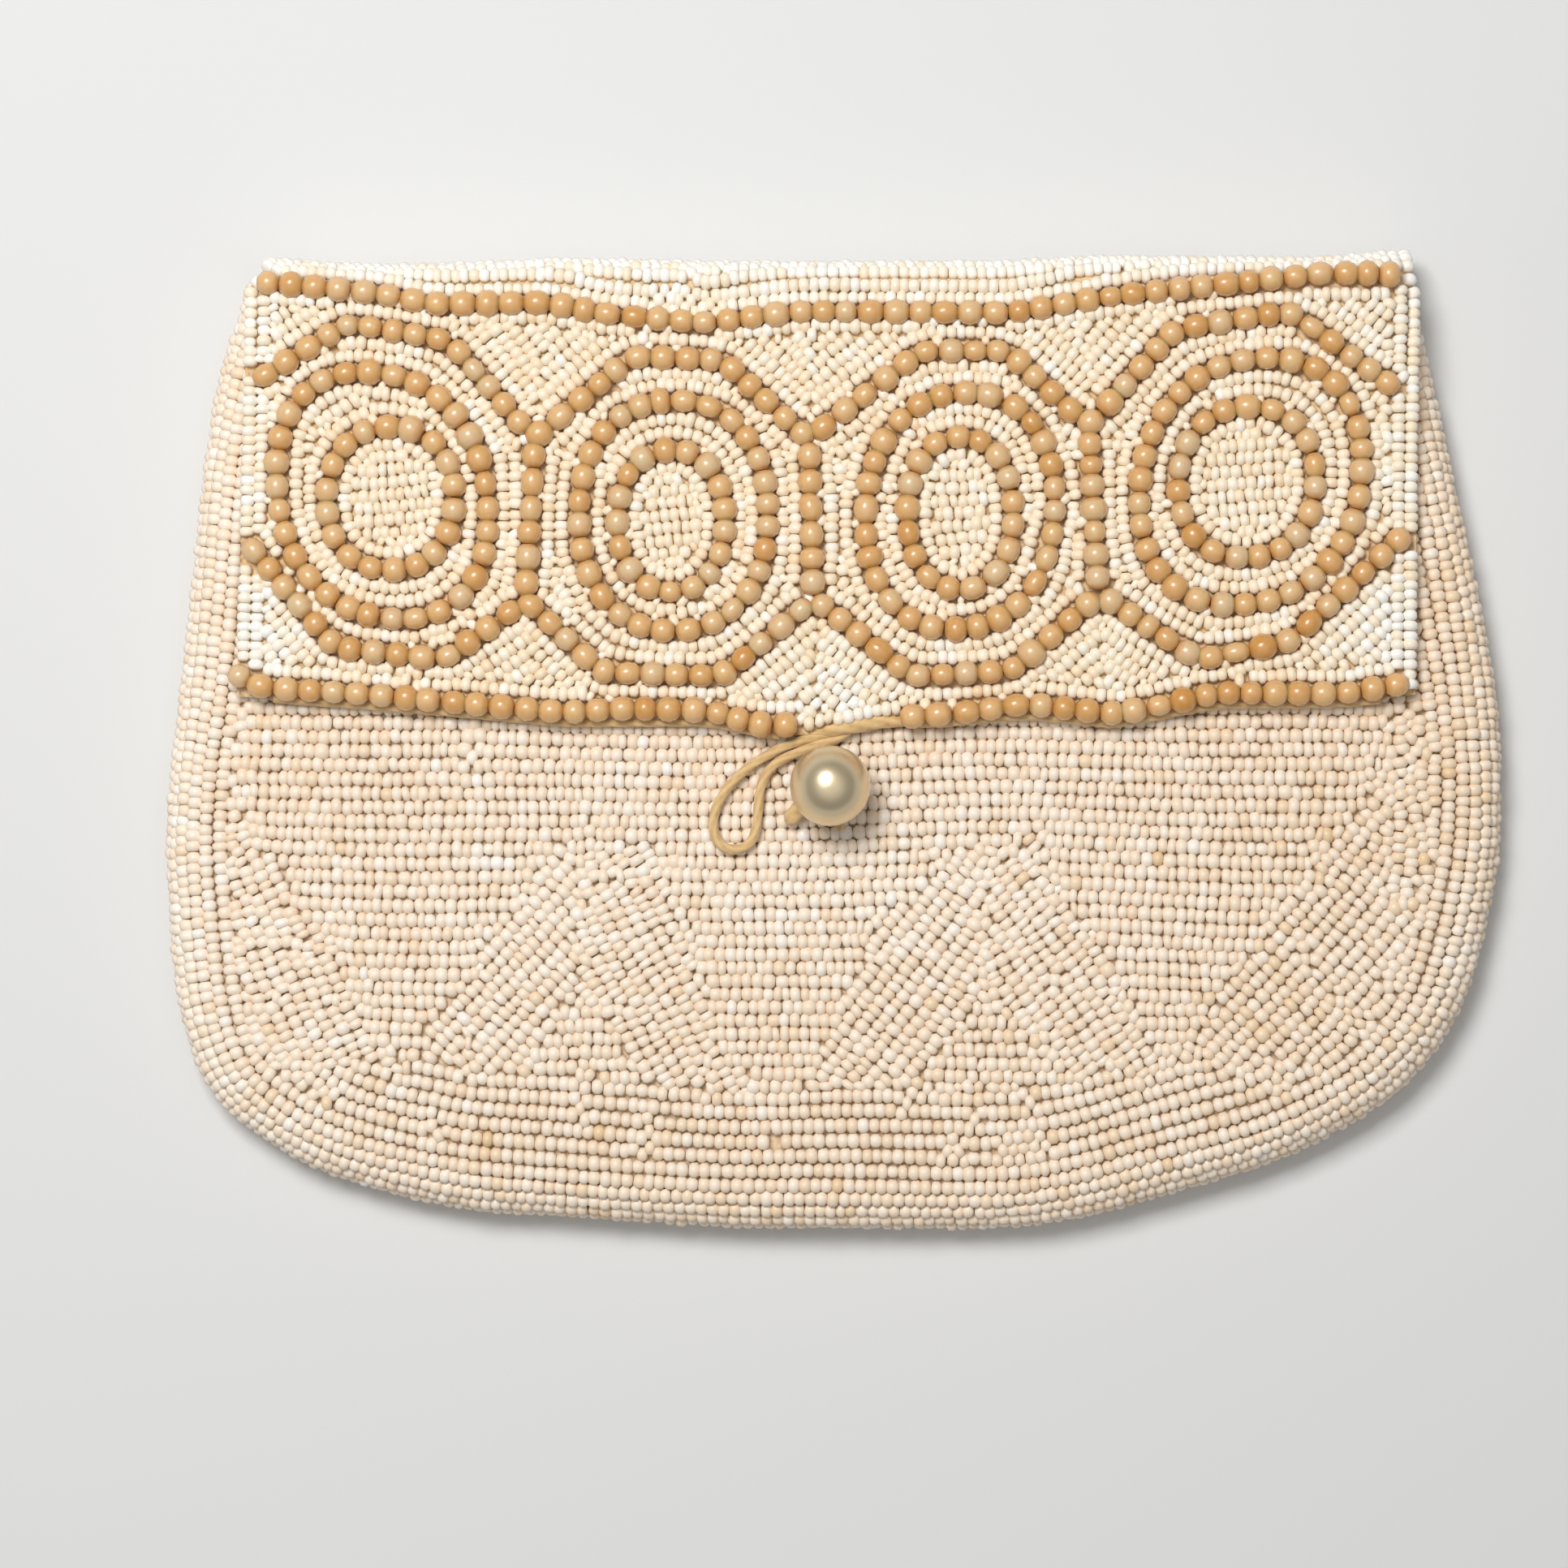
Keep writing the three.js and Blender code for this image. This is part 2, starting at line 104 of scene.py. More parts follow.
# Routes of the strings of amber beads, by their corners: across, up
ROUTES = {
    "border_top": [
        (-72.5, 59.8), (-58.5, 58.3), (-51.2, 56.9), (-37.1, 57.1), (-28.9, 55.6), (-16.7, 54.5),
        (-4.1, 56), (22.5, 55.8), (36, 58), (48.1, 59.3), (63.6, 61.3), (71.2, 61.3),
    ],
    "border_bottom_left": [
        (-76, 9.1), (-73.2, 7.7), (-59.4, 6.8), (-45.6, 5.5), (-34.4, 4.5), (-27.2, 5), (-16.3, 4.8),
        (-9.8, 2.9), (-6.5, 2.9),
    ],
    "border_bottom_right": [
        (10.1, 4), (16.7, 4.5), (24.5, 5.6), (36, 4.3), (42.6, 5.6), (48.8, 7), (64.9, 6.9), (71.7, 8),
    ],
    "lattice_upper": [
        (-73.2, 47.7), (-62.4, 54.5), (-49.4, 52.2), (-38.5, 39.5), (-25.9, 50.2), (-14.4, 49.7),
        (-3.4, 39.5), (11.2, 50.9), (22.2, 50.9), (32.5, 41.1), (43.7, 53.7), (58.5, 56), (71.1, 46.7),
    ],
    "lattice_lower": [
        (-74.4, 25.4), (-63.8, 12.8), (-49.9, 11.2), (-39.4, 18.8), (-29.8, 9.6), (-14.4, 9.1),
        (-2.6, 19), (9.8, 9.1), (22.6, 9.8), (33.9, 19.6), (46.5, 11.2), (58.1, 13.5), (72.1, 26.5),
    ],
    "upright_1": [(-38.5, 37.4), (-39.4, 20.9)],
    "upright_2": [(-3.2, 37.4), (-2.8, 21.1)],
    "upright_3": [(32.7, 39), (33.6, 21.7)],
}

# Rings of amber beads: across, up, half width, half height, degrees of lean
RING_POWER = 2.2
RINGS = {
    "middle_ring_1": (-57.9, 32.3, 13.6, 15.9, -10),
    "middle_ring_2": (-20.6, 29.7, 12.1, 14.8, 0),
    "middle_ring_3": (16.1, 30.3, 12.1, 15.2, 4),
    "middle_ring_4": (53.3, 34.1, 14.3, 15.9, 9),
    "inner_ring_1": (-56.8, 31.9, 8.2, 9.2, 0),
    "inner_ring_2": (-20.9, 29, 6.9, 9.1, 0),
    "inner_ring_3": (16.1, 30, 6.8, 9.8, 0),
    "inner_ring_4": (52.8, 34, 8.8, 9.7, 3),
}

# The cord loop, from the flap's tip round and back to it, and the cord under the pearl: across, up
LOOP = np.array([
    (2, 2.5), (0.2, 1.9), (-2.4, 1.4), (-4.8, 0.75), (-6.8, 0), (-9, -1.2), (-11.1, -2.6), (-12.9, -4.2),
    (-14.3, -6), (-15.3, -8), (-15.6, -9.9), (-15.3, -11.6), (-14.4, -12.7), (-13, -13.2), (-11.6, -12.9),
    (-10.5, -12), (-10, -10.4), (-9.8, -8.6), (-9.7, -6.8), (-9.5, -5.2), (-8.8, -3.4), (-7.6, -2),
    (-5.8, -1.1), (-4.2, -0.4), (-2.6, 0.2), (-1, 0.7), (0.6, 1.2), (1.8, 2.1),
])
SHANK = np.array([(-5.9, -9.6), (-4.8, -8.1), (-2.8, -6.3), (-0.7, -5.6), (0.5, -7.2), (0.6, -10.5)])
EDGE_CORDS = {"edge_cord_left": (-72.0, -7.0), "edge_cord_right": (-3.0, 70.0)}

# Fields of slanting rows on the front, between the level rows: degrees of the rows, and the field's corners
FIELDS = {
    "far_left": (-65, [(-79, -4), (-76.4, -9.3), (-63.8, -28.2), (-56, -42.5), (-60, -50), (-80, -44)]),
    "left_rise": (47, [(-56, -42.5), (-49.1, -32.9), (-40.7, -20.3), (-35.4, -13.5), (-32.1, -13.5),
                       (-33.1, -30.8), (-40.7, -43)]),
    "left_fall": (-63, [(-32.1, -13.5), (-24.5, -12.4), (-21.4, -17.5), (-14.5, -39.1), (-10, -44),
                        (-23.9, -43), (-33.1, -30.8)]),
    "right_rise": (50, [(-4, -44.8), (-1.1, -38.5), (5.8, -23.4), (16.3, -12.9), (19.3, -14),
                        (19.8, -31.6), (8.7, -43.4)]),
    "right_fall": (-56, [(19.3, -14), (25, -11.7), (33.2, -24.5), (43.3, -42.6), (32.8, -43.4),
                         (19.8, -31.6)]),
    "far_right": (49, [(43.3, -42.6), (55.4, -23.4), (62.9, -13.5), (69.6, -4), (80, -6), (80, -30),
                       (66, -46), (50, -50)]),
}


def running_length(path):
    """Length along a path, from its start to each of its points."""
    return np.r_[0, np.cumsum(np.linalg.norm(np.diff(path, axis=0), axis=1))]


def unit(vectors):
    """The vectors, each at a length of 1."""
    return vectors / np.linalg.norm(vectors, axis=1)[:, None]


def distances(some, others):
    """Distances in plan from each of some places to each of the others."""
    return np.hypot(*(some[:, None, :2] - others[None, :, :2]).transpose(2, 0, 1))


def even_path(points, step):
    """Points at even steps along a line of corners, by its running length."""
    points = np.asarray(points, float)
    run = running_length(points)
    at = np.linspace(0, run[-1], max(2, round(run[-1] / step)) + 1)
    return np.column_stack([np.interp(at, run, column) for column in points.T])


def soft_path(points, step, width):
    """An even path whose corners are rounded: each point is a mean over width, under a raised cosine.
    Beyond its ends the path is carried on by turning it round through them, so the ends stay."""
    path = even_path(points, step)
    reach = min(max(1, round(width / step / 2)), len(path) - 1)
    weights = np.hanning(2 * reach + 3)[1:-1]
    before = 2 * path[0] - path[reach:0:-1]
    after = 2 * path[-1] - path[-2:-2 - reach:-1]
    longer = np.vstack([before, path, after])
    columns = [np.convolve(column, weights / weights.sum(), "valid") for column in longer.T]
    return np.column_stack(columns)


def headings(path):
    """Unit directions along a path, by differences of its neighbours."""
    return unit(np.gradient(path, axis=0))


def left_of(ahead):
    """Plan directions turned a quarter to the left."""
    return np.column_stack([-ahead[:, 1], ahead[:, 0]])


def beside(path, away):
    """The path moved sideways: away is to the left of its direction where positive."""
    return path + away * left_of(headings(path))


def smoothstep(value, start, end):
    """3t² - 2t³ for t running from 0 at start to 1 at end."""
    t = np.clip((value - start) / (end - start), 0, 1)
    return t * t * (3 - 2 * t)


seam_corners = np.vstack([OUTLINE[::-1, [1, 0]] * (-1, 1), OUTLINE[:, [2, 0]]])
SEAM = soft_path(seam_corners, 1.0, 12)
SEAM_IN = headings(SEAM)[:, ::-1] * (-1, 1)


def nearest_seam(across, up):
    """Distance in from the seam's line, and the unit direction straight in from it."""
    starts = SEAM[:-1]
    runs = np.diff(SEAM, axis=0)
    away_x = across[:, None] - starts[:, 0]
    away_y = up[:, None] - starts[:, 1]
    share = np.clip((away_x * runs[:, 0] + away_y * runs[:, 1]) / (runs**2).sum(1), 0, 1)
    away_x -= share * runs[:, 0]
    away_y -= share * runs[:, 1]
    apart = np.hypot(away_x, away_y)
    near = apart.argmin(1)
    rows = np.arange(len(across))
    span_in = SEAM_IN[near] + share[rows, near][:, None] * (SEAM_IN[near + 1] - SEAM_IN[near])
    span_in = unit(span_in)
    within = away_x[rows, near] * span_in[:, 0] + away_y[rows, near] * span_in[:, 1] > 0
    return np.where(within, apart[rows, near], 0), span_in


def rounded_edge(edge, distance):
    """Height and slope of a quarter ellipse: height = high √(1 - rest²) with rest = 1 - distance / wide."""
    rest = 1 - np.clip(distance / edge["wide"], 1e-4, 1)
    share = np.sqrt(1 - rest**2)
    return edge["high"] * share, edge["high"] / edge["wide"] * rest / share


def upright_normals(inward, slope):
    """Normals of a face that rises by slope in the direction inward."""
    return unit(np.column_stack([-inward * slope[:, None], np.ones(len(slope))]))


def front_face(across, up):
    """Points and normals of the front: the rounded edge, and a swelling 1 - (1 - d / wide)² that dies away
    up towards the mouth."""
    distance, inward = nearest_seam(across, up)
    height, slope = rounded_edge(FRONT_EDGE, distance)
    rest = 1 - np.minimum(distance / SWELL["wide"], 1)
    fall = smoothstep(up, SWELL_FALL["start"], SWELL_FALL["end"]) * (1 - SWELL_FALL["left"])
    high = SWELL["high"] * (1 - fall)
    height = SEAM_HEIGHT + GAP / 2 + height + high * (1 - rest**2)
    points = np.column_stack([across, up, height])
    return points, upright_normals(inward, slope + 2 * high * rest / SWELL["wide"])


def back_face(across, up):
    """Points and normals of the back, which point down: flat where it rests, rounded up to the seam."""
    distance, inward = nearest_seam(across, up)
    height, slope = rounded_edge(BACK_EDGE, distance)
    points = np.column_stack([across, up, BACK_EDGE["high"] - height])
    return points, upright_normals(inward, slope) * (1, 1, -1)


def hem_up(across):
    """Height of the flap's free edge."""
    return np.interp(across, HEM[:, 0], HEM[:, 1])


def fold_deep(across):
    """How far the fold's cloth stands out over the mouth, so that the seeds on it reach the fold's edge."""
    seeds = SEED_LIFT + FLAP_SEED["across"] / 2
    return np.interp(across, FOLD_EDGE[:, 0], FOLD_EDGE[:, 1]) - FOLD["start"] - seeds


FOLD_TURNS = np.linspace(np.pi / 2, -np.pi / 2, 181)
FOLD_HALF = 4.8  # half the height of the fold's cloth, on average
MIDDLE_DEEP = fold_deep(0)
fold_steps = np.hypot(MIDDLE_DEEP * np.diff(np.cos(FOLD_TURNS)), FOLD_HALF * np.diff(np.sin(FOLD_TURNS)))
FOLD_RUN = np.r_[0, np.cumsum(fold_steps)]
FLAP_END = FOLD["start"] + FOLD_RUN[-1]


def fold_turn(along):
    """The turn round the fold, from 90 to -90 degrees, at a running length along the flap."""
    return np.interp(along - FOLD["start"], FOLD_RUN, FOLD_TURNS)


def flap_face(across, along):
    """Points and normals of the flap's cloth at a running length along it: over the front up to the fold,
    then round half an ellipse, (deep cos t, half sin t) with the fold's turn t, and on along the back."""
    lying, normals = front_face(across, np.minimum(along, FOLD["start"]))
    top = lying[:, 2] + FLAP_GAP + FLAP_CLOTH
    turn = fold_turn(along)
    folds = along > FOLD["start"]
    half = (top - FOLD["low"]) / 2
    deep = fold_deep(across)
    round_up = FOLD["start"] + deep * np.cos(turn) - np.maximum(along - FLAP_END, 0)
    round_z = FOLD["low"] + half + half * np.sin(turn)
    turned = unit(np.column_stack([np.zeros(len(turn)), np.cos(turn) / deep, np.sin(turn) / half]))
    points = np.column_stack([across, np.where(folds, round_up, along), np.where(folds, round_z, top)])
    return points, np.where(folds[:, None], turned, normals)


def grid_mesh(name, upper, lower):
    """A closed sheet between two grids of points, rows by columns, with its rim closed."""
    rows, columns = upper.shape[:2]
    place = np.arange(rows * columns).reshape(rows, columns)
    below = place + rows * columns

    def quads(grid):
        return np.stack([grid[:-1, :-1], grid[:-1, 1:], grid[1:, 1:], grid[1:, :-1]], -1).reshape(-1, 4)

    def walls(high, low):
        return np.stack([high[1:], high[:-1], low[:-1], low[1:]], -1)

    rim = [
        walls(place[0, ::-1], below[0, ::-1]),
        walls(place[-1], below[-1]),
        walls(place[:, 0], below[:, 0]),
        walls(place[::-1, -1], below[::-1, -1]),
    ]
    faces = np.vstack([quads(place), quads(below)[:, ::-1], *rim])
    points = np.vstack([upper.reshape(-1, 3), lower.reshape(-1, 3)])
    return made_mesh(name, points, faces.reshape(-1), np.full(len(faces), 4))


def made_mesh(name, points, corners, sizes, marks=None):
    """A smooth mesh object from points in millimetres, the faces' corners in one row and their sizes.
    marks are numbers at each point, by attribute name."""
    mesh = bpy.data.meshes.new(name)
    mesh.vertices.add(len(points))
    mesh.vertices.foreach_set("co", (points * MM).astype(np.float32).ravel())
    mesh.loops.add(len(corners))
    mesh.loops.foreach_set("vertex_index", corners.astype(np.int32))
    mesh.polygons.add(len(sizes))
    mesh.polygons.foreach_set("loop_start", np.r_[0, np.cumsum(sizes)[:-1]].astype(np.int32))
    mesh.polygons.foreach_set("use_smooth", np.ones(len(sizes), bool))
    for mark, values in (marks or {}).items():
        mesh.attributes.new(mark, "FLOAT", "POINT").data.foreach_set("value", values.astype(np.float32))
    mesh.update(calc_edges=True)
    mesh.validate()
    piece = bpy.data.objects.new(name, mesh)
    bpy.context.scene.collection.objects.link(piece)
    return piece


DRILLED_END = 0.9  # a bead's last ring, as a share of its half length
POLE = 0.95  # its poles, as the same share
SEED_FULL, AMBER_FULL = 0.84, 1.0  # below 1, a bead is fuller than a ball
SEED_DETAIL, BACK_DETAIL, AMBER_DETAIL = (8, 5), (6, 4), (12, 6)  # sides of a bead, and bands along it


def bead_profile(bands, fullness):
    """Rings of a bead from pole to pole: (along, out) = (sin a, cos a), each raised to the power fullness."""
    turns = np.linspace(-np.pi / 2, np.pi / 2, bands + 1)[1:-1]
    along = np.sign(turns) * np.abs(np.sin(turns)) ** fullness
    return along / along.max() * DRILLED_END, np.cos(turns) ** fullness


def bead_mesh(name, beads, sides, bands, fullness):
    """One joined mesh of closed beads. A bead's point is centre + along·axis·length / 2
    + out·across / 2·(cos t·side + sin t·normal); its poles are pulled in a little, as at a drilled end.
    The attribute tone is the bead's own, rise goes from 0 at the cloth to 1 at the top, and end from 0
    round the waist to 1 at the holes."""
    along, out = bead_profile(bands, fullness)
    turns = np.arange(sides) * 2 * np.pi / sides
    rings = len(along)
    shape_along = np.r_[np.repeat(along, sides), -POLE, POLE]
    shape_side = np.r_[np.outer(out, np.cos(turns)).ravel(), 0, 0]
    shape_up = np.r_[np.outer(out, np.sin(turns)).ravel(), 0, 0]
    size = rings * sides + 2
    half_length = (beads["length"] / 2)[:, None, None]
    half_across = (beads["across"] / 2)[:, None, None]
    axis, normal = beads["axis"][:, None, :], beads["normal"][:, None, :]
    side = np.cross(normal, axis)
    points = (
        beads["centre"][:, None, :]
        + half_length * shape_along[:, None] * axis
        + half_across * (shape_side[:, None] * side + shape_up[:, None] * normal)
    )
    ring = np.arange(rings * sides).reshape(rings, sides)
    after = np.roll(ring, -1, axis=1)
    quads = np.stack([ring[:-1], ring[1:], after[1:], after[:-1]], -1).reshape(-1, 4)
    first = np.stack([np.full(sides, size - 2), ring[0], after[0]], -1)
    last = np.stack([np.full(sides, size - 1), after[-1], ring[-1]], -1)
    shape_corners = np.r_[quads.ravel(), first.ravel(), last.ravel()]
    shape_sizes = np.r_[np.full(len(quads), 4), np.full(2 * sides, 3)]
    count = len(points)
    corners = (np.arange(count)[:, None] * size + shape_corners).ravel()
    marks = {
        "tone": np.repeat(beads["tone"], size),
        "rise": np.tile((shape_up + 1) / 2, count),
        "end": np.tile(np.abs(shape_along), count),
    }
    return made_mesh(name, points.reshape(-1, 3), corners, np.tile(shape_sizes, count), marks)


def rows_along(path, seed, spread=0.06):
    """Beads threaded along a path: their lengths vary by spread and fill the path from end to end.
    Gives columns across, up, direction, length and breadth."""
    run = running_length(path)
    count = max(1, round(run[-1] / seed["pitch"]))
    lengths = seed["pitch"] * (1 + spread * chance.standard_normal(count))
    lengths *= run[-1] / lengths.sum()
    at = np.cumsum(lengths) - lengths / 2
    columns = np.column_stack([path, headings(path)]).T
    across, up, ahead_x, ahead_y = (np.interp(at, run, column) for column in columns)
    breadth = np.full(len(at), seed["across"])
    return np.column_stack([across, up, np.arctan2(ahead_y, ahead_x), lengths, breadth])


ROW_JITTER, ROW_LEAN = 0.07, 0.1  # how far single beads of a field stray from their row, and turn in it


def rows_over(corners, degrees, seed, wave=0.25, spread=0.12):
    """Parallel rows of beads inside a field with those corners: rows lie a row's breadth apart, every other
    one half a bead further on, and all wander together: wave·sin(at / 9) + 2·wave·sin(at / 19), with phases
    that change slowly from row to row."""
    corners = np.asarray(corners, float)
    centre = corners.mean(0)
    reach = np.linalg.norm(corners - centre, axis=1).max()
    turn = np.radians(degrees)
    ahead = np.array([np.cos(turn), np.sin(turn)])
    left = np.array([-np.sin(turn), np.cos(turn)])
    offsets = np.arange(-reach, reach, seed["row"])[:, None]
    count = int(2.4 * reach / seed["pitch"])
    lengths = seed["pitch"] * (1 + spread * chance.standard_normal((len(offsets), count)))
    brick = np.arange(len(offsets))[:, None] % 2 * seed["pitch"] / 2
    at = np.cumsum(lengths, axis=1) - lengths / 2 - 1.15 * reach + brick
    phase = at / 9 + offsets / 13 + degrees
    slow_phase = at / 19 - offsets / 27 + 2 * degrees
    away = offsets + wave * (np.sin(phase) + 2 * np.sin(slow_phase))
    away = away + ROW_JITTER * chance.standard_normal(at.shape)
    places = centre + at[..., None] * ahead + away[..., None] * left
    climb = wave * (np.cos(phase) / 9 + 2 * np.cos(slow_phase) / 19)
    lean = turn + np.arctan(climb) + ROW_LEAN * chance.standard_normal(at.shape)
    breadth = np.full(lean.size, seed["across"])
    rows = np.column_stack([places.reshape(-1, 2), lean.ravel(), lengths.ravel(), breadth])
    return rows[inside(corners, rows)]


def inside(corners, beads):
    """True for beads whose place is inside a polygon, by the count of its sides to their right."""
    corners = np.asarray(corners, float)
    ends = np.roll(corners, -1, axis=0)
    across, up = beads[:, 0, None], beads[:, 1, None]
    crosses = (corners[:, 1] > up) != (ends[:, 1] > up)
    rise = np.where(ends[:, 1] == corners[:, 1], 1, ends[:, 1] - corners[:, 1])
    where = corners[:, 0] + (up - corners[:, 1]) * (ends[:, 0] - corners[:, 0]) / rise
    return (crosses & (across < where)).sum(1) % 2 == 1


def oval_reach(beads, bearing):
    """How far beads reach at a bearing, as ovals: 1 / √((cos t / half length)² + (sin t / half breadth)²)."""
    turn = bearing - beads[..., 2]
    return 0.5 / np.hypot(np.cos(turn) / beads[..., 3], np.sin(turn) / beads[..., 4])


def crowding(some, others):
    """How near beads stand: the way between two over the sum of their reaches toward each other. At 1 they
    touch."""
    way = some[..., :2] - others[..., :2]
    bearing = np.arctan2(way[..., 1], way[..., 0])
    return np.hypot(way[..., 0], way[..., 1]) / (oval_reach(some, bearing) + oval_reach(others, bearing))


def with_room(more, placed, room):
    """Those beads of more that are not too near to any placed one."""
    parts = np.array_split(more, len(more) // 200 + 1)
    clear = [crowding(part[:, None], placed[None]).min(1, initial=np.inf) > room for part in parts]
    return more[np.concatenate(clear)]


def add_rows(placed, more, room):
    """The beads so far, and those of more that find room."""
    return np.vstack([placed, with_room(more, placed, room)])


def add_row(placed, row, room):
    """The beads so far, and those of one row that find room: away from all placed ones, and from those that
    come before on the thread, apart from the last."""
    row = with_room(row, placed, room)
    clash = crowding(row[:, None], row[None]) < room
    earlier = np.tri(len(row), k=-2, dtype=bool)
    return np.vstack([placed, row[~(clash & earlier).any(1)]])


def fill_holes(placed, allowed, box, seed, room):
    """The beads so far, and jumbled ones in their holes. Places on a fine grid that are clear of all beads
    compete by lot, and the best within reach of each other win, until none is left."""
    step = 0.25
    reach = room * np.sqrt(seed["pitch"] * seed["across"])
    x, y = np.meshgrid(np.arange(box[0], box[2], step), np.arange(box[1], box[3], step))
    cells = int(1.3 * reach / step) + 1
    shift_y, shift_x = np.mgrid[-cells:cells + 1, -cells:cells + 1]
    near_x = np.round((placed[:, 0] - box[0]) / step).astype(int)[:, None, None] + shift_x
    near_y = np.round((placed[:, 1] - box[1]) / step).astype(int)[:, None, None] + shift_y
    way_x = near_x * step + box[0] - placed[:, 0, None, None]
    way_y = near_y * step + box[1] - placed[:, 1, None, None]
    oval = oval_reach(placed[:, None, None], np.arctan2(way_y, way_x))
    taken = (np.hypot(way_x, way_y) < room * oval + reach / 2) & (near_x >= 0) & (near_y >= 0)
    taken &= (near_x < x.shape[1]) & (near_y < x.shape[0])
    free = np.ones(x.shape, bool)
    free[near_y[taken], near_x[taken]] = False
    spots = np.column_stack([x[free], y[free]])
    spots = spots[allowed(spots)]
    lots = chance.random(len(spots))
    chosen = np.zeros((0, 2))
    while len(spots):
        near = distances(spots, spots) < reach
        best = np.where(near, lots, 2).min(1) == lots
        chosen = np.vstack([chosen, spots[best]])
        left = ~near[best].any(0)
        spots, lots = spots[left], lots[left]
    nearest = distances(chosen, placed).argmin(1)
    turn = placed[nearest, 2] + 0.45 * chance.standard_normal(len(chosen))
    length = seed["pitch"] * (0.96 + 0.06 * chance.standard_normal(len(chosen)))
    more = np.column_stack([chosen, turn, length, np.full(len(chosen), seed["across"])])
    return np.vstack([placed, more])


def smaller(seed):
    """A smaller bead of the same kind, for the holes that no other fits."""
    return {key: 0.74 * size for key, size in seed.items()}


def near_pairs(rows, reach, batch=400):
    """Pairs of beads that stand nearer than reach, as two rows of their numbers, the lower one first."""
    pairs = []
    for start in range(0, len(rows), batch):
        way = rows[start:start + batch, None, :2] - rows[None, :, :2]
        some, others = np.nonzero((way**2).sum(-1) < reach**2)
        pairs.append(np.stack([some + start, others]))
    pairs = np.hstack(pairs)
    return pairs[:, pairs[0] < pairs[1]]


def settle(rows, held, rounds=60, reach=4.0):
    """Crowded beads pushed apart. In each round both beads of a pair whose crowding is below TIGHT move along
    the way between them by a share of what it lacks; held ones stay."""
    rows = rows.copy()
    first, second = near_pairs(rows, reach)
    for _ in range(rounds):
        one, two = rows[first], rows[second]
        way = one[:, :2] - two[:, :2]
        way /= np.hypot(way[:, 0], way[:, 1])[:, None] + 1e-9
        push = 0.4 * np.clip(TIGHT - crowding(one, two), 0, 1)
        for column in range(2):
            move = np.bincount(first, push * way[:, column], len(rows))
            move -= np.bincount(second, push * way[:, column], len(rows))
            rows[:, column] += np.where(held, 0, move)
    return rows


def set_on(face, rows, lift, loose=0.06):
    """Beads on a face: each stands on the face's normal, its axis along its row in the face, with a small
    tilt, height and breadth of its own. None goes down through the table."""
    count = len(rows)
    points, normals = face(rows[:, 0], rows[:, 1])
    ahead = np.column_stack([np.cos(rows[:, 2]), np.sin(rows[:, 2]), np.zeros(count)])
    axis = ahead - normals * (ahead * normals).sum(1)[:, None]
    axis += loose * chance.standard_normal((count, 3))
    axis = unit(axis)
    normals = unit(normals - axis * (axis * normals).sum(1)[:, None])
    stand = lift + 0.06 * chance.standard_normal(count)
    breadth = rows[:, 4] * (1.04 + 0.07 * chance.standard_normal(count))
    centres = points + normals * stand[:, None]
    centres[:, 2] = np.maximum(centres[:, 2], breadth / 2)
    return {"centre": centres, "axis": axis, "normal": normals, "length": rows[:, 3] * 1.1, "across": breadth}


class Wire:
    """An output socket of a finish. Sums, differences and products of wires and numbers add Math nodes."""

    def __init__(self, finish, socket):
        self.finish = finish
        self.socket = socket

    def math(self, operation, *values):
        return self.finish.node("ShaderNodeMath", {"operation": operation}, dict(enumerate(values)))

    def __add__(self, other):
        return self.math("ADD", self, other)

    def __sub__(self, other):
        return self.math("SUBTRACT", self, other)

    def __rsub__(self, other):
        return self.math("SUBTRACT", other, self)

    def __mul__(self, other):
        return self.math("MULTIPLY", self, other)

    __radd__ = __add__
    __rmul__ = __mul__

    def clamp(self, low=0.0, high=1.0):
        return self.math("MINIMUM", self.math("MAXIMUM", self, low), high)


def socket_name(key):
    """A shader socket's name from a plain word, such as Base Color from base_color."""
    return key.replace("_", " ").title().replace("Ior", "IOR")


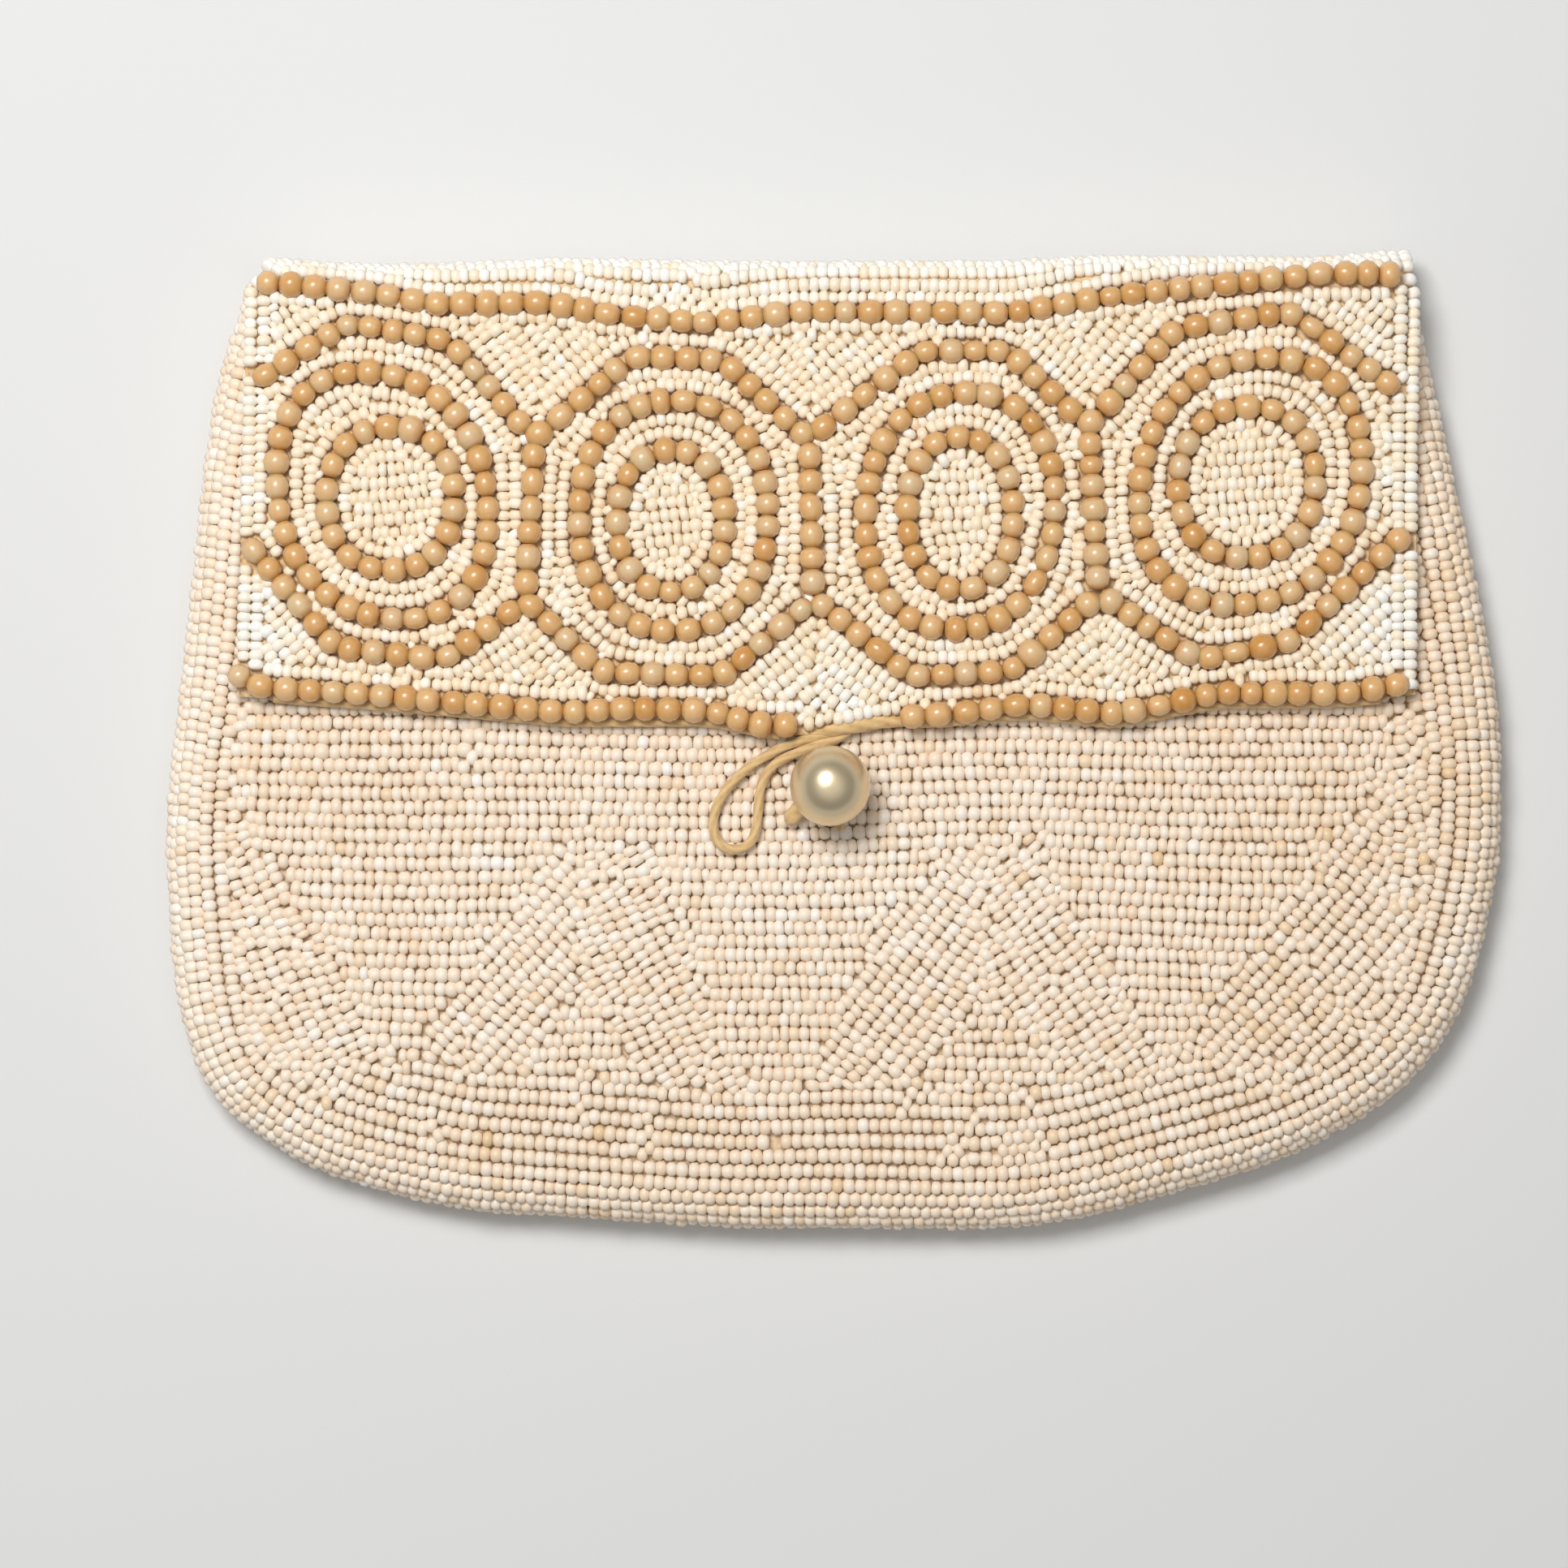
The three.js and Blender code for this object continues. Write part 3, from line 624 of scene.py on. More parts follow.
class Finish:
    """A material: a Principled shader and the nodes that feed it."""

    def __init__(self, name, **fixed):
        self.material = bpy.data.materials.new(name)
        self.material.use_nodes = True
        self.tree = self.material.node_tree
        self.shader = self.tree.nodes["Principled BSDF"]
        self.feed(self.shader, {socket_name(key): value for key, value in fixed.items()})

    def feed(self, node, sockets):
        for key, value in sockets.items():
            if isinstance(value, Wire):
                self.tree.links.new(value.socket, node.inputs[key])
            else:
                node.inputs[key].default_value = value

    def node(self, kind, settings=None, sockets=None, out=0):
        """A node of that type: its settings come first, then the values or wires of its sockets."""
        made = self.tree.nodes.new(kind)
        for key, value in (settings or {}).items():
            if key == "stops":
                ramp = made.color_ramp.elements
                while len(ramp) < len(value):
                    ramp.new(0.5)
                for element, (at, colour) in zip(ramp, value):
                    element.position = at
                    element.color = (*colour, 1)
            else:
                setattr(made, key, value)
        self.feed(made, sockets or {})
        return Wire(self, made.outputs[out])

    def mark(self, name):
        """A number that the mesh carries at its points."""
        return self.node("ShaderNodeAttribute", {"attribute_name": name}, out="Fac")

    def places(self):
        return self.node("ShaderNodeTexCoord", out="Object")

    def noise(self, size, detail=2.0):
        """Noise with marks of about that size in millimetres."""
        sockets = {"Vector": self.places(), "Scale": 1 / (size * MM), "Detail": detail}
        return self.node("ShaderNodeTexNoise", None, sockets)

    def ramp(self, value, stops):
        return self.node("ShaderNodeValToRGB", {"stops": stops}, {"Fac": value})

    def mix(self, share, first, second, blend="MIX"):
        """A colour between two, by share from 0 to 1."""
        settings = {"data_type": "RGBA", "blend_type": blend}
        first, second = ((*colour, 1) if isinstance(colour, tuple) else colour for colour in (first, second))
        return self.node("ShaderNodeMix", settings, {0: share, 6: first, 7: second}, out=2)

    def bump(self, height, distance, strength=1.0):
        sockets = {"Height": height, "Distance": distance * MM, "Strength": strength}
        return self.node("ShaderNodeBump", None, sockets)

    def wear(self, **sockets):
        self.feed(self.shader, {socket_name(key): value for key, value in sockets.items()})
        return self.material


# A brown for old dirt and stain on the seeds, also used as painted shade under and between them
SHADE_AND_STAIN = (0.71, 0.52, 0.31)


def seed_finish(name, stops):
    """Opaque glass seeds: each has its own tone, and they brown towards the cloth and the holes, as painted
    shade under and between the beads mixed with specks of old dirt and stain.
    """
    finish = Finish(name, roughness=0.42, specular_ior_level=0.35, coat_weight=0.12, coat_roughness=0.2)
    rise, end = finish.mark("rise"), finish.mark("end")
    colour = finish.ramp(finish.mark("tone"), stops)
    speck = finish.noise(0.9, 3.0)
    # Painted shade: browner low on each bead, towards the cloth, broken by specks of dirt
    low = ((0.42 - rise) * 2.2 + (speck - 0.5) * 0.7).clamp()
    # Browner at the holes, where neighbours touch: painted shade between the beads, with stain
    hole = ((end - 0.8) * 5.0).clamp() * 0.35
    colour = finish.mix((low * 0.62 + hole).clamp(), colour, SHADE_AND_STAIN)
    return finish.wear(base_color=colour, normal=finish.bump(finish.noise(0.5, 2.0), 0.02))


def amber_finish():
    """Honey glass: its own tone from beige to orange, deeper orange underneath and at the holes as painted
    shade, and stained at the holes.
    """
    finish = Finish("honey_glass", roughness=0.4, specular_ior_level=0.3, coat_weight=1.0,
                    coat_roughness=0.22, subsurface_weight=0.6, subsurface_scale=1.5 * MM)
    stops = [(0.0, (0.70, 0.52, 0.30)), (0.4, (0.73, 0.47, 0.21)), (1.0, (0.60, 0.30, 0.07))]
    cloud = finish.noise(1.6, 2.0)
    colour = finish.ramp((finish.mark("tone") + (cloud - 0.5) * 0.5).clamp(), stops)
    rise, end = finish.mark("rise"), finish.mark("end")
    # Painted shade: deeper orange low on each bead, away from the light, and at the holes where neighbours
    # meet, which also carry stain
    edge = ((end - 0.5) * 1.6).clamp() * 0.7 + ((0.92 - rise) * 1.8).clamp() * 0.6
    colour = finish.mix(edge.clamp(), colour, (0.54, 0.26, 0.06))
    return finish.wear(base_color=colour)


def cloth_finish(name, pale, dark):
    """Plain woven cloth: two sets of threads as crossed waves, and stains in broad and small clouds."""
    finish = Finish(name, roughness=0.9)

    def threads(direction):
        sockets = {"Vector": finish.places(), "Scale": 314.0, "Distortion": 0.6}
        return finish.node("ShaderNodeTexWave", {"bands_direction": direction}, sockets)

    weave_x = threads("X")
    weave = weave_x.math("MAXIMUM", weave_x, threads("Y"))
    cloud = finish.noise(14.0, 4.0) * 0.6 + finish.noise(2.5, 3.0) * 0.4
    colour = finish.mix(((cloud - 0.35) * 2.5).clamp(), pale, dark)
    return finish.wear(base_color=colour, normal=finish.bump(weave, 0.12))


def cord_finish():
    """Tan thread: fine fibres along the cord, with a painted highlight on the ridges of its strands and
    painted shade between, mixed with clouds of fibre tone.
    """
    finish = Finish("tan_thread", roughness=0.8, sheen_weight=0.3)
    ridge = finish.mark("ridge")
    cloud = finish.noise(1.2, 4.0)
    # Painted highlight on the strands' ridges and painted shade in the grooves between, mixed with fibre tone
    colour = finish.mix((ridge * 0.6 + (cloud - 0.4) * 0.8).clamp(), (0.55, 0.33, 0.12), (0.84, 0.61, 0.31))
    return finish.wear(base_color=colour, normal=finish.bump(finish.noise(0.25, 3.0), 0.06))


def pearl_finish():
    """Imitation pearl: a creamy lustre, half mirror, under a clear coat."""
    finish = Finish("pearl_lustre", metallic=0.7, roughness=0.29, coat_weight=0.1, coat_roughness=0.1)
    cloud = finish.noise(3.0, 3.0)
    colour = finish.mix(cloud, (0.68, 0.55, 0.34), (0.78, 0.66, 0.45))
    return finish.wear(base_color=colour)


def dressed(piece, material, slot, *nodes):
    """The piece in its finish, riding on the clutch, in place of those nodes."""
    piece.data.materials.append(material)
    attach(piece, "root")
    if nodes:
        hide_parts(*nodes)
    return piece


def ring_faces(rings, sides):
    """Corners and sizes of the faces round rings of points, closed at both ends by a pole. The two poles come
    after the rings."""
    place = np.arange(rings * sides).reshape(rings, sides)
    after = np.roll(place, -1, axis=1)
    quads = np.stack([place[:-1], after[:-1], after[1:], place[1:]], -1).reshape(-1, 4)
    first = np.stack([np.full(sides, place.size), after[0], place[0]], -1)
    last = np.stack([np.full(sides, place.size + 1), place[-1], after[-1]], -1)
    corners = np.r_[quads.ravel(), first.ravel(), last.ravel()]
    return corners, np.r_[np.full(len(quads), 4), np.full(2 * sides, 3)]


def stoutness(run, stout, full, reach):
    """How stout a cord is at a running length: 1 at its start, 1 + stout from full, and 1 from reach on."""
    return 1 + stout * smoothstep(run, 0, full) * (1 - smoothstep(run, 0.5 * reach, reach))


NOT_STOUT = (0.0, 1.0, 2.0)
CORD_SIDES = 12
CORD_STEP = 0.22  # between the circles of a cord
CORD_TIP = 0.15  # how far a cord's poles stand out from its ends


def cord_mesh(name, points, stout=NOT_STOUT):
    """A twisted cord: circles round a path of points in space. The radius is half the diameter, times
    0.88 + 0.12·|cos(strands / 2·(t - 2π·run / lay))|, so strands wind round it, one turn in each lay, and
    times its stoutness. The attribute ridge is 1 on a strand and 0 between two."""
    path = even_path(points, CORD_STEP)
    ahead = headings(path)
    left = unit(np.cross((0, 0, 1), ahead))
    over = np.cross(ahead, left)
    run = running_length(path)
    turns = np.arange(CORD_SIDES) * 2 * np.pi / CORD_SIDES
    ridge = np.abs(np.cos(CORD_STRANDS / 2 * (turns - 2 * np.pi * run[:, None] / CORD_LAY)))
    radius = CORD_DIAMETER / 2 * (0.88 + 0.12 * ridge) * stoutness(run, *stout)[:, None]
    circle = np.cos(turns)[:, None] * left[:, None] + np.sin(turns)[:, None] * over[:, None]
    rings = path[:, None] + radius[..., None] * circle
    poles = [path[0] - CORD_TIP * ahead[0], path[-1] + CORD_TIP * ahead[-1]]
    marks = {"ridge": np.r_[ridge.ravel(), 0, 0]}
    return made_mesh(name, np.vstack([rings.reshape(-1, 3), poles]), *ring_faces(*ridge.shape), marks)


def on_front(places, lift):
    """Points held off the front over plan places."""
    points, normals = front_face(places[:, 0], places[:, 1])
    return np.column_stack([places, points[:, 2] + lift / normals[:, 2]])


# Camera, straight above, and the image's size in millimetres at the clutch
LENS, SENSOR = 120.0, 36.0
PIXEL = 0.105  # millimetres for each pixel of the photograph
IMAGE = 1932
CENTRE = (1027.5, 921.5)  # the pixel that is over the origin
MEASURED_AT = 8.0  # the height over the table at which a pixel is that long
view_height = MEASURED_AT + IMAGE * PIXEL * LENS / SENSOR
camera_data = bpy.data.cameras.new("camera")
camera_data.lens = LENS
camera_data.sensor_width = SENSOR
camera = bpy.data.objects.new("camera", camera_data)
camera.location = (
    (IMAGE / 2 - CENTRE[0]) * PIXEL * MM,
    (CENTRE[1] - IMAGE / 2) * PIXEL * MM,
    view_height * MM,
)
bpy.context.scene.collection.objects.link(camera)
bpy.context.scene.camera = camera

# The cord loop, the cord under the pearl and the cords along the flap's edge
tan_thread = cord_finish()
CORD_LIFT = GAP + CORD_DIAMETER / 2
EDGE_CORD_TUCK = 1.05  # how far the edge's cord is pushed in under the amber beads
loop_line = on_front(soft_path(LOOP, 0.4, 2.4), CORD_LIFT)
loop = cord_mesh("loop_thread", loop_line)
dressed(loop, tan_thread, "tan_cord", "loop_cord")


def tail_line(places, step, width, stout):
    """A cord's line on the front over plan places, lifted further where it is stout."""
    path = soft_path(places, step, width)
    run = step * np.arange(len(path))
    return on_front(path, GAP + CORD_DIAMETER / 2 * stoutness(run, *stout))


# How much stouter a cord is by its start, from where and as far as where
SHANK_STOUT = (0.8, 0.9, 5.0)
TIP_STOUT = {"edge_cord_left": NOT_STOUT, "edge_cord_right": (0.65, 4.5, 14.0)}
shank_line = tail_line(SHANK, 0.4, 2.0, SHANK_STOUT)
shank = cord_mesh("shank_thread", shank_line, SHANK_STOUT)
dressed(shank, tan_thread, "tan_cord", "button_shank")
for name, (start, end) in EDGE_CORDS.items():
    across = np.linspace(start, end, 80)
    places = np.column_stack([across, hem_up(across) - CORD_LIFT + EDGE_CORD_TUCK])
    line = tail_line(places, 0.8, 6.0, TIP_STOUT[name])
    thread = cord_mesh(name + "_thread", line, TIP_STOUT[name])
    dressed(thread, tan_thread, "tan_cord", name)


LOW_UP = -56  # below this the cloth's sections lie nearer together


def panel_grid(face):
    """The outer and the inner grid of points of a cloth under a face: rows are sections of the outline, and
    columns crowd towards the sides as a half turn's cosine."""
    ups = np.r_[np.linspace(OUTLINE[0, 0], LOW_UP, 9)[:-1], np.linspace(LOW_UP, MOUTH_UP, 42)]
    left, right = (np.interp(ups, OUTLINE[:, 0], OUTLINE[:, column]) for column in (1, 2))
    share = (1 - np.cos(np.linspace(0, np.pi, 61))) / 2
    across = -left[:, None] + share * (left + right)[:, None]
    up = np.repeat(ups[:, None], len(share), axis=1)
    points, normals = face(across.ravel(), up.ravel())
    return [(points - under * normals).reshape(*up.shape, 3) for under in (CLOTH_TOP, CLOTH_TOP + CLOTH_WALL)]


# Cloth of the pouch and of the flap
ground_cloth = cloth_finish("ground_cloth", (0.82, 0.65, 0.45), (0.66, 0.48, 0.29))
outer, inner = panel_grid(front_face)
front_cloth = dressed(grid_mesh("front_cloth", outer, inner), ground_cloth, "ivory_beads", "front_panel")
outer, inner = panel_grid(back_face)
back_cloth = dressed(grid_mesh("back_cloth", inner, outer), ground_cloth, "ivory_beads", "back_panel")


def flap_side(along, side):
    """Half width of the flap at a running length along it, on the left or the right: it runs straight from
    the hem to the fold and is drawn in round the fold."""
    foot = -HEM[0, 0] if side == "left" else HEM[-1, 0]
    rise = np.clip((along - HEM[0, 1]) / (FOLD["start"] - HEM[0, 1]), 0, 1)
    turn = fold_turn(along)
    inset = np.where(along > FOLD["start"], FOLD_CORNER[side] * np.cos(turn), 0)
    return foot + rise * (FLAP_TOP[side] - foot) - inset


def flap_grid(under):
    """A grid of points under the flap's cloth: columns run from the hem, over the fold to the back."""
    share = np.linspace(-1, 1, 85)
    rise = np.linspace(0, 1, 60)
    foot = np.where(share < 0, -share * HEM[0, 0], share * HEM[-1, 0])
    hem = hem_up(foot)
    along = hem + rise[:, None] * (FLAP_END + FOLD["tuck"] - hem)
    across = np.where(share < 0, share * flap_side(along, "left"), share * flap_side(along, "right"))
    points, normals = flap_face(across.ravel(), along.ravel())
    return (points - under * normals).reshape(*along.shape, 3)


flap_cloth = grid_mesh("flap_cloth", flap_grid(0), flap_grid(FLAP_CLOTH))
flap_ground = cloth_finish("flap_ground", (0.86, 0.63, 0.37), (0.72, 0.48, 0.23))
dressed(flap_cloth, flap_ground, "ivory_beads", "flap")

# Strings of amber beads
amber_glass = amber_finish()


def ring_path(across, up, wide, high, lean):
    """A squared oval: (wide·sq(cos t), high·sq(sin(t + lean))) with sq(v) = sign(v)·|v|^(2 / power)."""
    turn = np.linspace(0, 2 * np.pi, 121)

    def squared(value):
        return np.sign(value) * np.abs(value) ** (2 / RING_POWER)

    return np.column_stack([
        across + wide * squared(np.cos(turn)),
        up + high * squared(np.sin(turn + np.radians(lean))),
    ])


fold_along = np.linspace(FOLD["start"] - 20, FLAP_END, 400)
fold_points, fold_normals = flap_face(np.zeros(len(fold_along)), fold_along)
fold_up = fold_points[:, 1] + AMBER_LIFT * fold_normals[:, 1]
fold_top = fold_up.argmax()


def along_flap(path):
    """Running length along the flap under amber beads that are seen at a path's places. Round the fold, what
    stands out there is first scaled to the fold's depth in the middle."""
    over = path[:, 1] - FOLD["start"]
    scale = (MIDDLE_DEEP + AMBER_LIFT) / (fold_deep(path[:, 0]) + AMBER_LIFT)
    up = FOLD["start"] + np.where(over > 0, over * scale, over)
    return np.where(up < fold_up[0], up, np.interp(up, fold_up[:fold_top], fold_along[:fold_top]))


STRINGS = {name: soft_path(route, 0.5, 4.0) for name, route in ROUTES.items()}
STRINGS.update({name: even_path(ring_path(*ring), 0.5) for name, ring in RINGS.items()})
AMBER_TONE = {"border": 0.5, "lattice": 0.42, "upright": 0.36, "middle": 0.38, "inner": 0.34}
AMBER_SPREAD, SEED_SPREAD = 0.2, 0.13  # how far the tones of single beads differ
amber_rows = {}
for name, path in STRINGS.items():
    if name in ROUTES:
        ahead = headings(path) * AMBER["pitch"] / 2
        path = np.vstack([path[0] - ahead[0], path, path[-1] + ahead[-1]])
    path = np.column_stack([path[:, 0], along_flap(path)])
    STRINGS[name] = path
    path_rows = amber_rows[name] = rows_along(path, AMBER)
    beads = set_on(flap_face, path_rows, AMBER_LIFT)
    own_tone = AMBER_SPREAD * chance.standard_normal(len(path_rows))
    beads["tone"] = np.clip(AMBER_TONE[name.split("_")[0]] + own_tone, 0, 1)
    if name == "border_bottom_left":
        beads["tone"][0] = 0
    string = bead_mesh(name + "_beads", beads, *AMBER_DETAIL, AMBER_FULL)
    dressed(string, amber_glass, "amber_beads", name)
all_amber = np.vstack(list(amber_rows.values()))
LEANING = 0.76  # share of its size that an amber bead on the fold takes from the rows beside it
foot_share = np.concatenate([
    np.full(len(rows), LEANING if name == "border_top" else 1.0) for name, rows in amber_rows.items()
])
amber_feet = all_amber.copy()
amber_feet[:, 3:] *= foot_share[:, None]


def tones(beads, rows, base, patches):
    """A tone for each bead: a base, its own chance and broad patches, each a bell round a place in plan."""
    tone = base + SEED_SPREAD * chance.standard_normal(len(rows))
    for across, up, wide, high, shift in patches:
        bell = np.exp(-((rows[:, 0] - across) / wide)**2 - ((rows[:, 1] - up) / high)**2)
        tone = tone + shift * bell
    beads["tone"] = np.clip(tone, 0, 1)
    return beads


def dress_halves(name, beads, rows, detail, glass):
    """The left and the right half of a set of seeds, each one joined mesh in that glass."""
    left = rows[:, 0] < 0
    for half, chosen in (("left", left), ("right", ~left)):
        some = {key: values[chosen] for key, values in beads.items()}
        dressed(bead_mesh(f"{name}_{half}", some, *detail, SEED_FULL), glass, "ivory_beads")


def box_corners(left, low, right, high):
    """The corners of a box in plan, in turn."""
    return [(left, low), (right, low), (right, high), (left, high)]


# Seed beads on the flap. Its rooms say how near to others a bead may stand, where 1 is just touching
FLAP_ROOM = {"edge": 0.6, "amber": 0.62, "core": 0.56, "fold": 0.55, "field": 0.76, "small": 0.78}
HEM_BARE = 1.3  # how far in from the free edge the seeds start
SIDE_MARGIN, AMBER_MARGIN = 0.45, 0.2  # from the flap's side and an amber bead, in breadths of a seed


def on_flap(places, amber=amber_feet):
    """True for places on the flap that no amber bead stands on."""
    margin = SIDE_MARGIN * FLAP_SEED["across"]
    along = places[:, 1]
    within = places[:, 0] > margin - flap_side(along, "left")
    within &= places[:, 0] < flap_side(along, "right") - margin
    within &= (along > hem_up(places[:, 0]) + HEM_BARE) & (along < FLAP_END - 0.5)
    room = distances(places[within], amber) - amber[:, 4] / 2
    clear = np.zeros(len(places), bool)
    clear[within] = room.min(1) > AMBER_MARGIN * FLAP_SEED["across"]
    return clear


def off_amber(places):
    """True for places on the flap that are not under an amber bead either."""
    return on_flap(places, all_amber)


def flap_row(placed, path, room):
    """The flap's beads so far, with a row along a path."""
    row = rows_along(even_path(path, 0.3), FLAP_SEED)
    return add_row(placed, row[on_flap(row)], room)


BESIDE_AMBER = 2.25  # from a string of amber beads to the row beside it, where there is room
BESIDE_FOLD = 1.8  # the same at the string along the fold, whose beads lean out over the row
ONE_ROW, TWO_ROWS = 5.2, 7.4  # between strings nearer than this there is only one row, or there are two
ABREAST = 0.8  # how far a point of the next string may be from straight beside
NO_STRING = 99
edge_along = np.linspace(5, FLAP_END, 200)
flap_sides = {
    "left": np.column_stack([-flap_side(edge_along, "left"), edge_along]),
    "right": np.column_stack([flap_side(edge_along, "right"), edge_along]),
}


def free_way(name, side):
    """How far it is from each point of a string, straight to its left or right, to the next string."""
    path = STRINGS[name]
    ahead = headings(path)
    out = side * left_of(ahead)
    others = np.vstack([other_path for other, other_path in STRINGS.items() if other != name])
    way = others[None] - path[:, None]
    far = (way * out[:, None]).sum(-1)
    off = np.abs((way * ahead[:, None]).sum(-1))
    return np.where((off < ABREAST) & (far > 1), far, NO_STRING).min(1)


def row_beside(name, side):
    """The line of a row of seeds along a string: halfway to the next string where only one row has room, at
    0.36 of the way where two have, and close to the string where there is more. The steps between are
    smoothed along the string."""
    way = free_way(name, side)
    away = np.select([way < ONE_ROW, way < TWO_ROWS], [way / 2, 0.36 * way], BESIDE_AMBER)
    if name == "border_top":
        away = np.minimum(away, BESIDE_FOLD)
    smooth = np.hanning(9)[1:-1]
    away = np.convolve(np.pad(away, 3, "edge"), smooth / smooth.sum(), "valid")
    return beside(STRINGS[name], side * away[:, None])


TIP_ROW = [(-3.9, 3.0), (-1.4, 3.2), (1.5, 3.9), (5, 4.7), (8.4, 5.2)]  # along the flap's tip: across, up
flap_rows = np.zeros((0, 5))
for column in range(2):
    step_in = (column + 0.55) * FLAP_SEED["row"]
    flap_rows = flap_row(flap_rows, flap_sides["left"] + (step_in, 0), FLAP_ROOM["edge"])
    flap_rows = flap_row(flap_rows, flap_sides["right"] - (step_in, 0), FLAP_ROOM["edge"])
flap_rows = flap_row(flap_rows, TIP_ROW, FLAP_ROOM["edge"])
side_count = len(flap_rows)
lattices = [name for name in ROUTES if not name.startswith("border")]
for name in list(RINGS) + lattices + ["border_bottom_left", "border_bottom_right", "border_top"]:
    for side in (1, -1):
        flap_rows = flap_row(flap_rows, row_beside(name, side), FLAP_ROOM["amber"])
for name in RINGS:
    if name.startswith("inner"):
        core = rows_over(STRINGS[name], 0, FLAP_SEED, wave=0.4)
        flap_rows = add_rows(flap_rows, core[on_flap(core)], FLAP_ROOM["core"])

# Over the fold, rows that follow its string of amber beads, and then level ones
FOLD_ROWS = 4
FOLD_FIELD = {"wide": 76, "low": 53}  # its half width, past the flap's sides, and where it starts
fold_line = STRINGS["border_top"]
fold_ends = [(-FOLD_FIELD["wide"], fold_line[0, 1]), (FOLD_FIELD["wide"], fold_line[-1, 1])]
fold_line = np.vstack([fold_ends[0], fold_line, fold_ends[1]])
for number in range(FOLD_ROWS):
    path = beside(fold_line, BESIDE_FOLD + number * FLAP_SEED["row"])
    flap_rows = flap_row(flap_rows, path, FLAP_ROOM["fold"])
fold_box = box_corners(-FOLD_FIELD["wide"], FOLD_FIELD["low"], FOLD_FIELD["wide"], FLAP_END)
fold_rows = rows_over(fold_box, 0, FLAP_SEED, wave=0.1)
fold_foot = np.interp(fold_rows[:, 0], *fold_line.T) + BESIDE_FOLD
fold_rows = fold_rows[(fold_rows[:, 1] > fold_foot) & on_flap(fold_rows)]
flap_rows = add_rows(flap_rows, fold_rows, FLAP_ROOM["fold"])

# Further rows along the lattice, and beads in the holes between
for number in range(1, 5):
    away = BESIDE_AMBER + number * FLAP_SEED["row"]
    for name in lattices:
        for side in (1, -1):
            flap_rows = flap_row(flap_rows, beside(STRINGS[name], side * away), FLAP_ROOM["field"])
flap_box = (-78, 0, 78, FLAP_END)
flap_rows = fill_holes(flap_rows, off_amber, flap_box, FLAP_SEED, FLAP_ROOM["field"])
order = np.arange(len(flap_rows) + len(amber_feet))
held = (order < side_count) | (order >= len(flap_rows))
flap_rows = settle(np.vstack([flap_rows, amber_feet]), held)[:-len(amber_feet)]
flap_rows = fill_holes(flap_rows, off_amber, flap_box, smaller(FLAP_SEED), FLAP_ROOM["small"])

# Paler and yellower patches: across, up, half width, half height, shift of tone. On the flap, the band along
# the fold and the columns down its sides are painted light, where the top and the edges catch it most
FLAP_PATCHES = [
    (0, 66, 200, 8, 0.4), (-1, 6.5, 8, 4.5, 0.22), (70, 13, 6, 8, 0.2), (-71, 14, 6, 7, 0.2),
    (75, 35, 5, 40, 0.2), (-76, 35, 5, 40, 0.2),
]
# On the front, the darker patches to the right and along the bottom are painted shade where the pouch turns
# from the light; the right border's, beside the flap's edge, is partly dirt
FRONT_PATCHES = [
    (-45.1, -51.3, 1.6, 1.6, -0.6), (57, -37, 13, 6, -0.15), (80, 20, 8, 30, -0.2),
    (-81.5, 20, 1.2, 10, -0.2), (-84, -10, 4, 60, 0.1), (70, -20, 40, 30, -0.06), (0, -58, 60, 8, -0.12),
    (0, -18, 22, 10, 0.1), (0, -40, 45, 12, -0.08), (-66, -3, 14, 9, -0.1), (66, -9, 15, 12, -0.1),
    (-42, -20, 9, 9, 0.08),
]
flap_glass = seed_finish("cream_seeds", [
    (0.0, (0.84, 0.62, 0.38)), (0.4, (0.91, 0.75, 0.54)),
    (0.7, (0.93, 0.82, 0.65)), (1.0, (0.95, 0.92, 0.86)),
])
flap_beads = tones(set_on(flap_face, flap_rows, SEED_LIFT), flap_rows, 0.62, FLAP_PATCHES)
dress_halves("flap_seeds", flap_beads, flap_rows, SEED_DETAIL, flap_glass)


def edge_path(edge, arc):
    """A path round the pouch at an arc's length in from the seam, over the edge's quarter ellipse."""
    turn = np.linspace(0, np.pi / 2, 200)
    x, z = edge["wide"] * (1 - np.cos(turn)), edge["high"] * np.sin(turn)
    run = np.r_[0, np.cumsum(np.hypot(np.diff(x), np.diff(z)))]
    distance = np.interp(arc, run, x) + max(0.0, arc - run[-1])
    return even_path(SEAM + SEAM_IN * distance, 0.5)


# Seed beads on the front
FRONT_ROOM = {"rows": 0.6, "fill": 0.68, "small": 0.8}
UNDER_HEM, UNDER_SIDE = 7.0, 5.0  # how far the beads go on under the flap
EDGE_START = 0.95  # from the seam to the first row along the edge
SIDE_ROWS, RIGHT_ROWS, LOW_ROWS = 6, 9, 11  # rows along the edge: everywhere, on the right and at the bottom
RIGHT_SPAN = (-19, 14)  # the heights between which the right side has more of them
LOW_SPAN = -41  # the height below which the bottom has more of them
LOW_SLOPE = 0.75  # the sine of the slope at which those end
FRONT_INNER, BACK_INNER = 8.0, 5.2  # how far in from the seam other beads may start
WANDER = 0.22
LEVEL_FIELD = box_corners(-90, -64, 90, 60)
POUCH_BOX = (-88, -64, 88, 60)
BARE_SPOT = np.array([(-7.8, -50.9)])  # where a bead is lost


def in_view(places):
    """True for places on the front that the flap leaves open, and a little under it."""
    across, up = places[:, 0], places[:, 1]
    distance, _ = nearest_seam(across, up)
    open_front = up < hem_up(across) + UNDER_HEM
    open_front |= across < UNDER_SIDE - flap_side(up, "left")
    open_front |= across > flap_side(up, "right") - UNDER_SIDE
    return (distance > FRONT_INNER) & open_front & (up < FOLD["start"])


